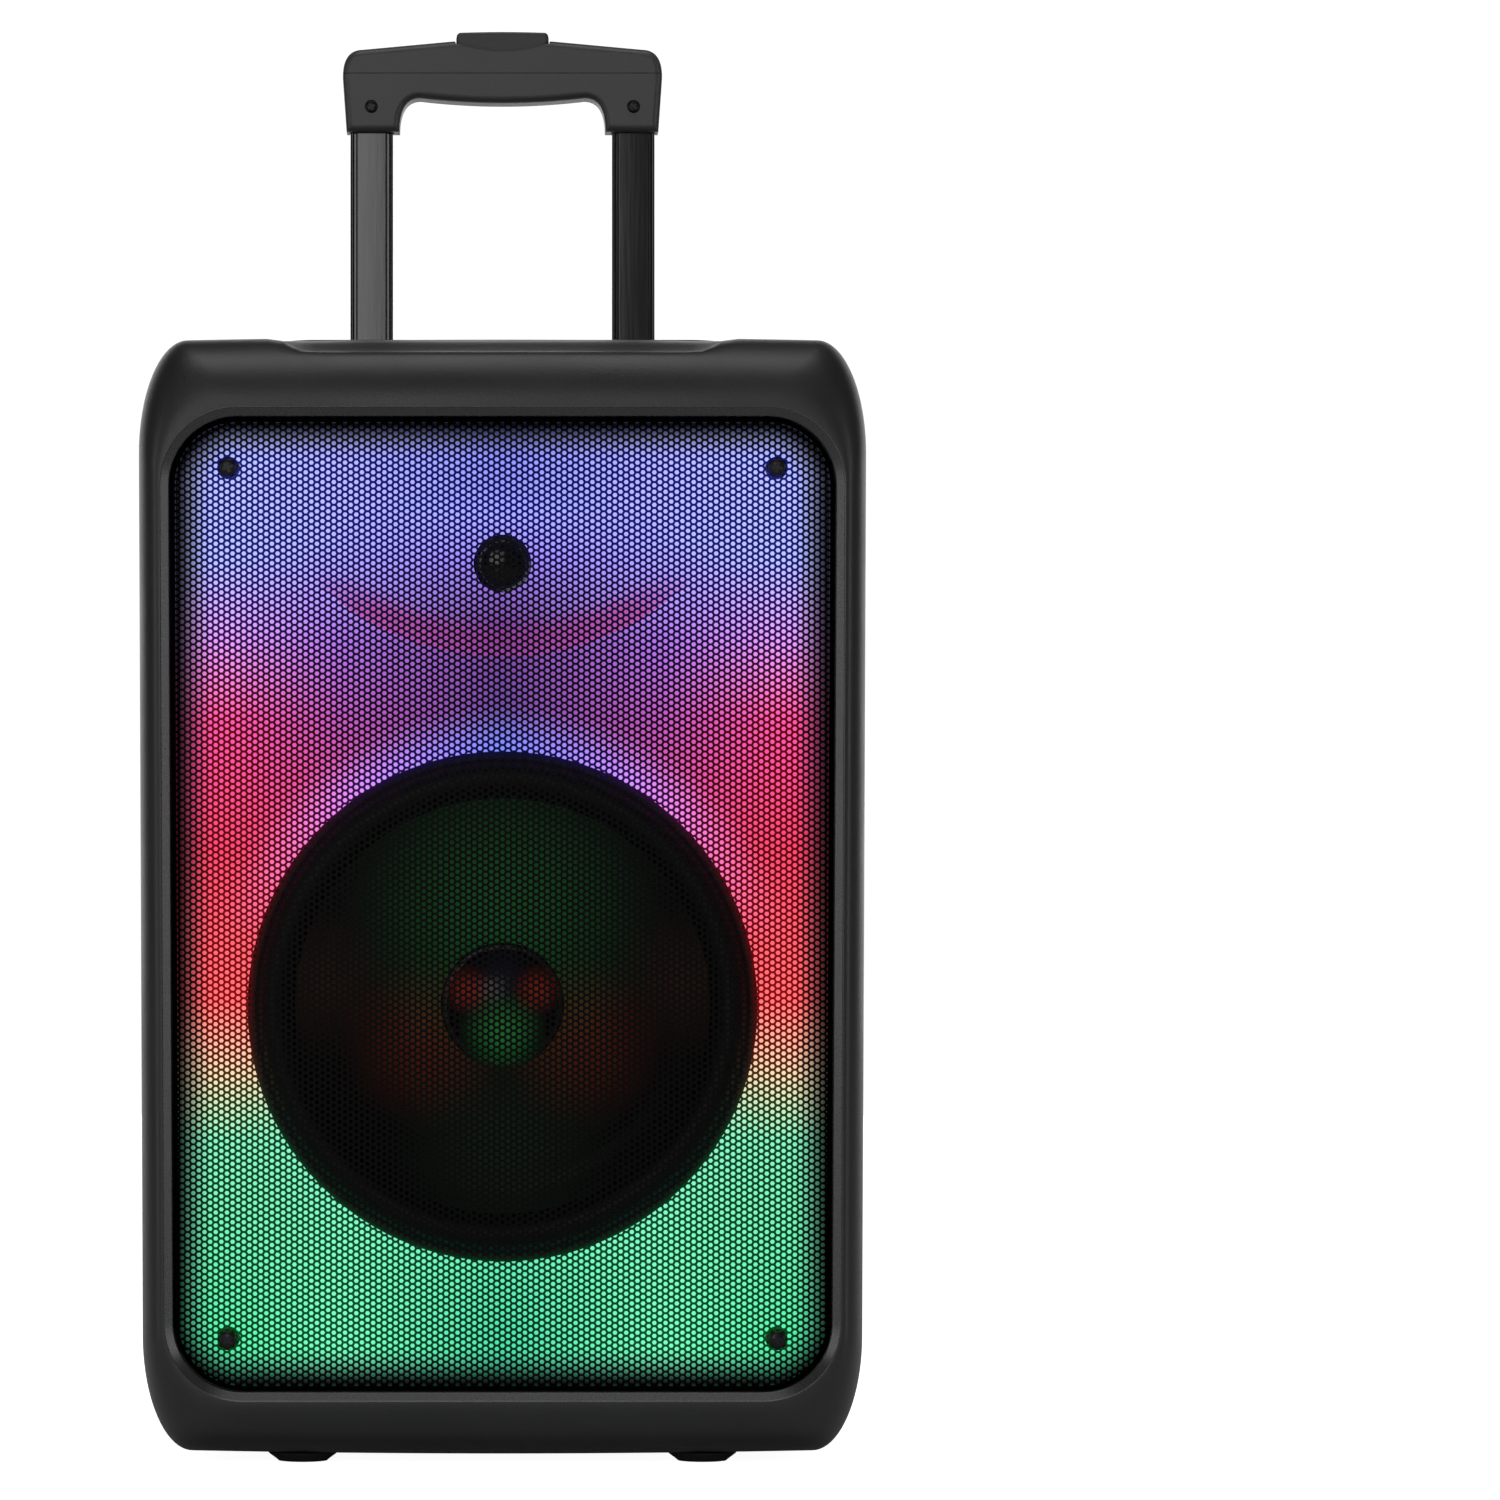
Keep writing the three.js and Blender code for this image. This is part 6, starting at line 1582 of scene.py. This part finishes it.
def makeWheels():
    for name in ("left", "right"):
        low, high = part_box("wheel_tyre_" + name)
        middle = (low + high) / 2
        radius, half = (high.y - low.y) / 2, (high.x - low.x) / 2
        hubRadius = wheelSize["hubRadius"] * mm
        bead, shoulder = half - 1 * mm, wheelSize["tyreRound"] * mm
        profile = [(hubRadius + 0.2 * mm, -bead), (hubRadius + 3 * mm, -bead - 0.4 * mm),
                   (hubRadius + 3.6 * mm, -half + 0.1 * mm)]
        profile += [(radius - shoulder + shoulder * math.sin(t), -half + shoulder - shoulder * math.cos(t))
                    for t in np.linspace(0.15, math.pi / 2, 7)]
        for groove in wheelSize["grooves"]:
            g, w, d = groove * mm, wheelSize["grooveWide"] * mm, wheelSize["grooveDeep"] * mm
            profile += [(radius, g - w), (radius - d, g - w * 0.7), (radius - d, g + w * 0.7),
                        (radius, g + w)]
        profile += [(radius - shoulder + shoulder * math.sin(t), half - shoulder + shoulder * math.cos(t))
                    for t in np.linspace(math.pi / 2, 0.15, 7)]
        profile += [(hubRadius + 3.6 * mm, half - 0.1 * mm), (hubRadius + 3 * mm, bead + 0.4 * mm),
                    (hubRadius + 0.2 * mm, bead)]
        body = "wheel_" + name
        settle(turned("tyre_" + name, profile, middle, (1, 0, 0), tyreRubber, 96, closed=True), body,
               "tyre_rubber", "wheel_tyre_" + name)

        bore, boss = wheelSize["bore"] * mm, wheelSize["bossRadius"] * mm
        rim, web = wheelSize["rimRadius"] * mm, wheelSize["webHalf"] * mm
        profile = [(bore, -half), (boss - 0.6 * mm, -half), (boss, -half + 0.6 * mm), (boss, -web),
                   (rim, -web),
                   (rim, -bead + 0.5 * mm), (rim + 0.5 * mm, -bead), (hubRadius, -bead), (hubRadius, bead),
                   (rim + 0.5 * mm, bead), (rim, bead - 0.5 * mm), (rim, web), (boss, web),
                   (boss, half - 0.6 * mm),
                   (boss - 0.6 * mm, half), (bore, half)]
        parts = [turned("hub", profile, middle, (1, 0, 0), keyAbs, 72, closed=True)]
        for i in range(wheelSize["spokes"]):
            a = 2 * math.pi * i / wheelSize["spokes"]
            across, along = Vector((0, math.cos(a), math.sin(a))), Vector((0, -math.sin(a), math.cos(a)))
            w = wheelSize["spokeWide"] / 2 * mm
            edge = 1 * mm
            rings = []
            for r, deep in ((boss - 0.8 * mm, half - 3 * mm), (rim + 0.8 * mm, half - 4.5 * mm)):
                section = [(w, deep - edge), (w - edge, deep), (edge - w, deep), (-w, deep - edge),
                           (-w, edge - deep), (edge - w, -deep), (w - edge, -deep), (w, edge - deep)]
                rings.append([middle + across * r + along * p + Vector((q, 0, 0)) for p, q in section])
            parts.append(loft("spoke", rings, keyAbs))
        settle(joinPieces("hub_" + name, parts), body, "key_plastic", "wheel_hub_" + name)


def makeFeet():
    for name in ("left", "right"):
        low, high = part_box("foot_" + name)
        middle = (low + high) / 2
        wide = (high.x - low.x) / 2
        narrow = wheelSize["footNarrow"] * mm
        profile = [(0, high.z), (wide, high.z), (wide, high.z - 0.5 * mm),
                   (wide - 0.5 * mm, high.z - 1.0 * mm),
                   (narrow + 0.9 * mm, low.z + 0.9 * mm), (narrow, low.z + 0.1 * mm),
                   (narrow - 0.8 * mm, low.z),
                   (narrow - 4 * mm, low.z), (narrow - 4.5 * mm, low.z + 0.5 * mm), (0, low.z + 0.5 * mm)]
        settle(turned("rubber_foot_" + name, profile, (middle.x, middle.y, 0), (0, 0, 1), mattRubber, 64),
               "cabinet", "rubber", "foot_" + name)


makeWheels()
makeFeet()
print("wheels and feet made")


# Hidden parts keep their CAD shapes.

insides = {
    "led_strip_left": solderMask, "led_strip_right": solderMask, "baffle": stainedFibreboard,
    "woofer_frame": enamelledSteel, "woofer_magnet": groundFerrite, "woofer_spider": phenolicCotton,
    "voice_coil": enamelledCopper, "control_board": solderMask, "release_bar": zincPlatedSteel,
    "wheel_axle": zincPlatedSteel, "battery_pack": shrunkPvc, "amplifier_board": solderMask,
    "power_supply": solderMask,
}
for node, material in insides.items():
    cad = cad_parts[node]
    cad.data.materials.clear()
    cad.data.materials.append(material)
print("hidden parts coated")
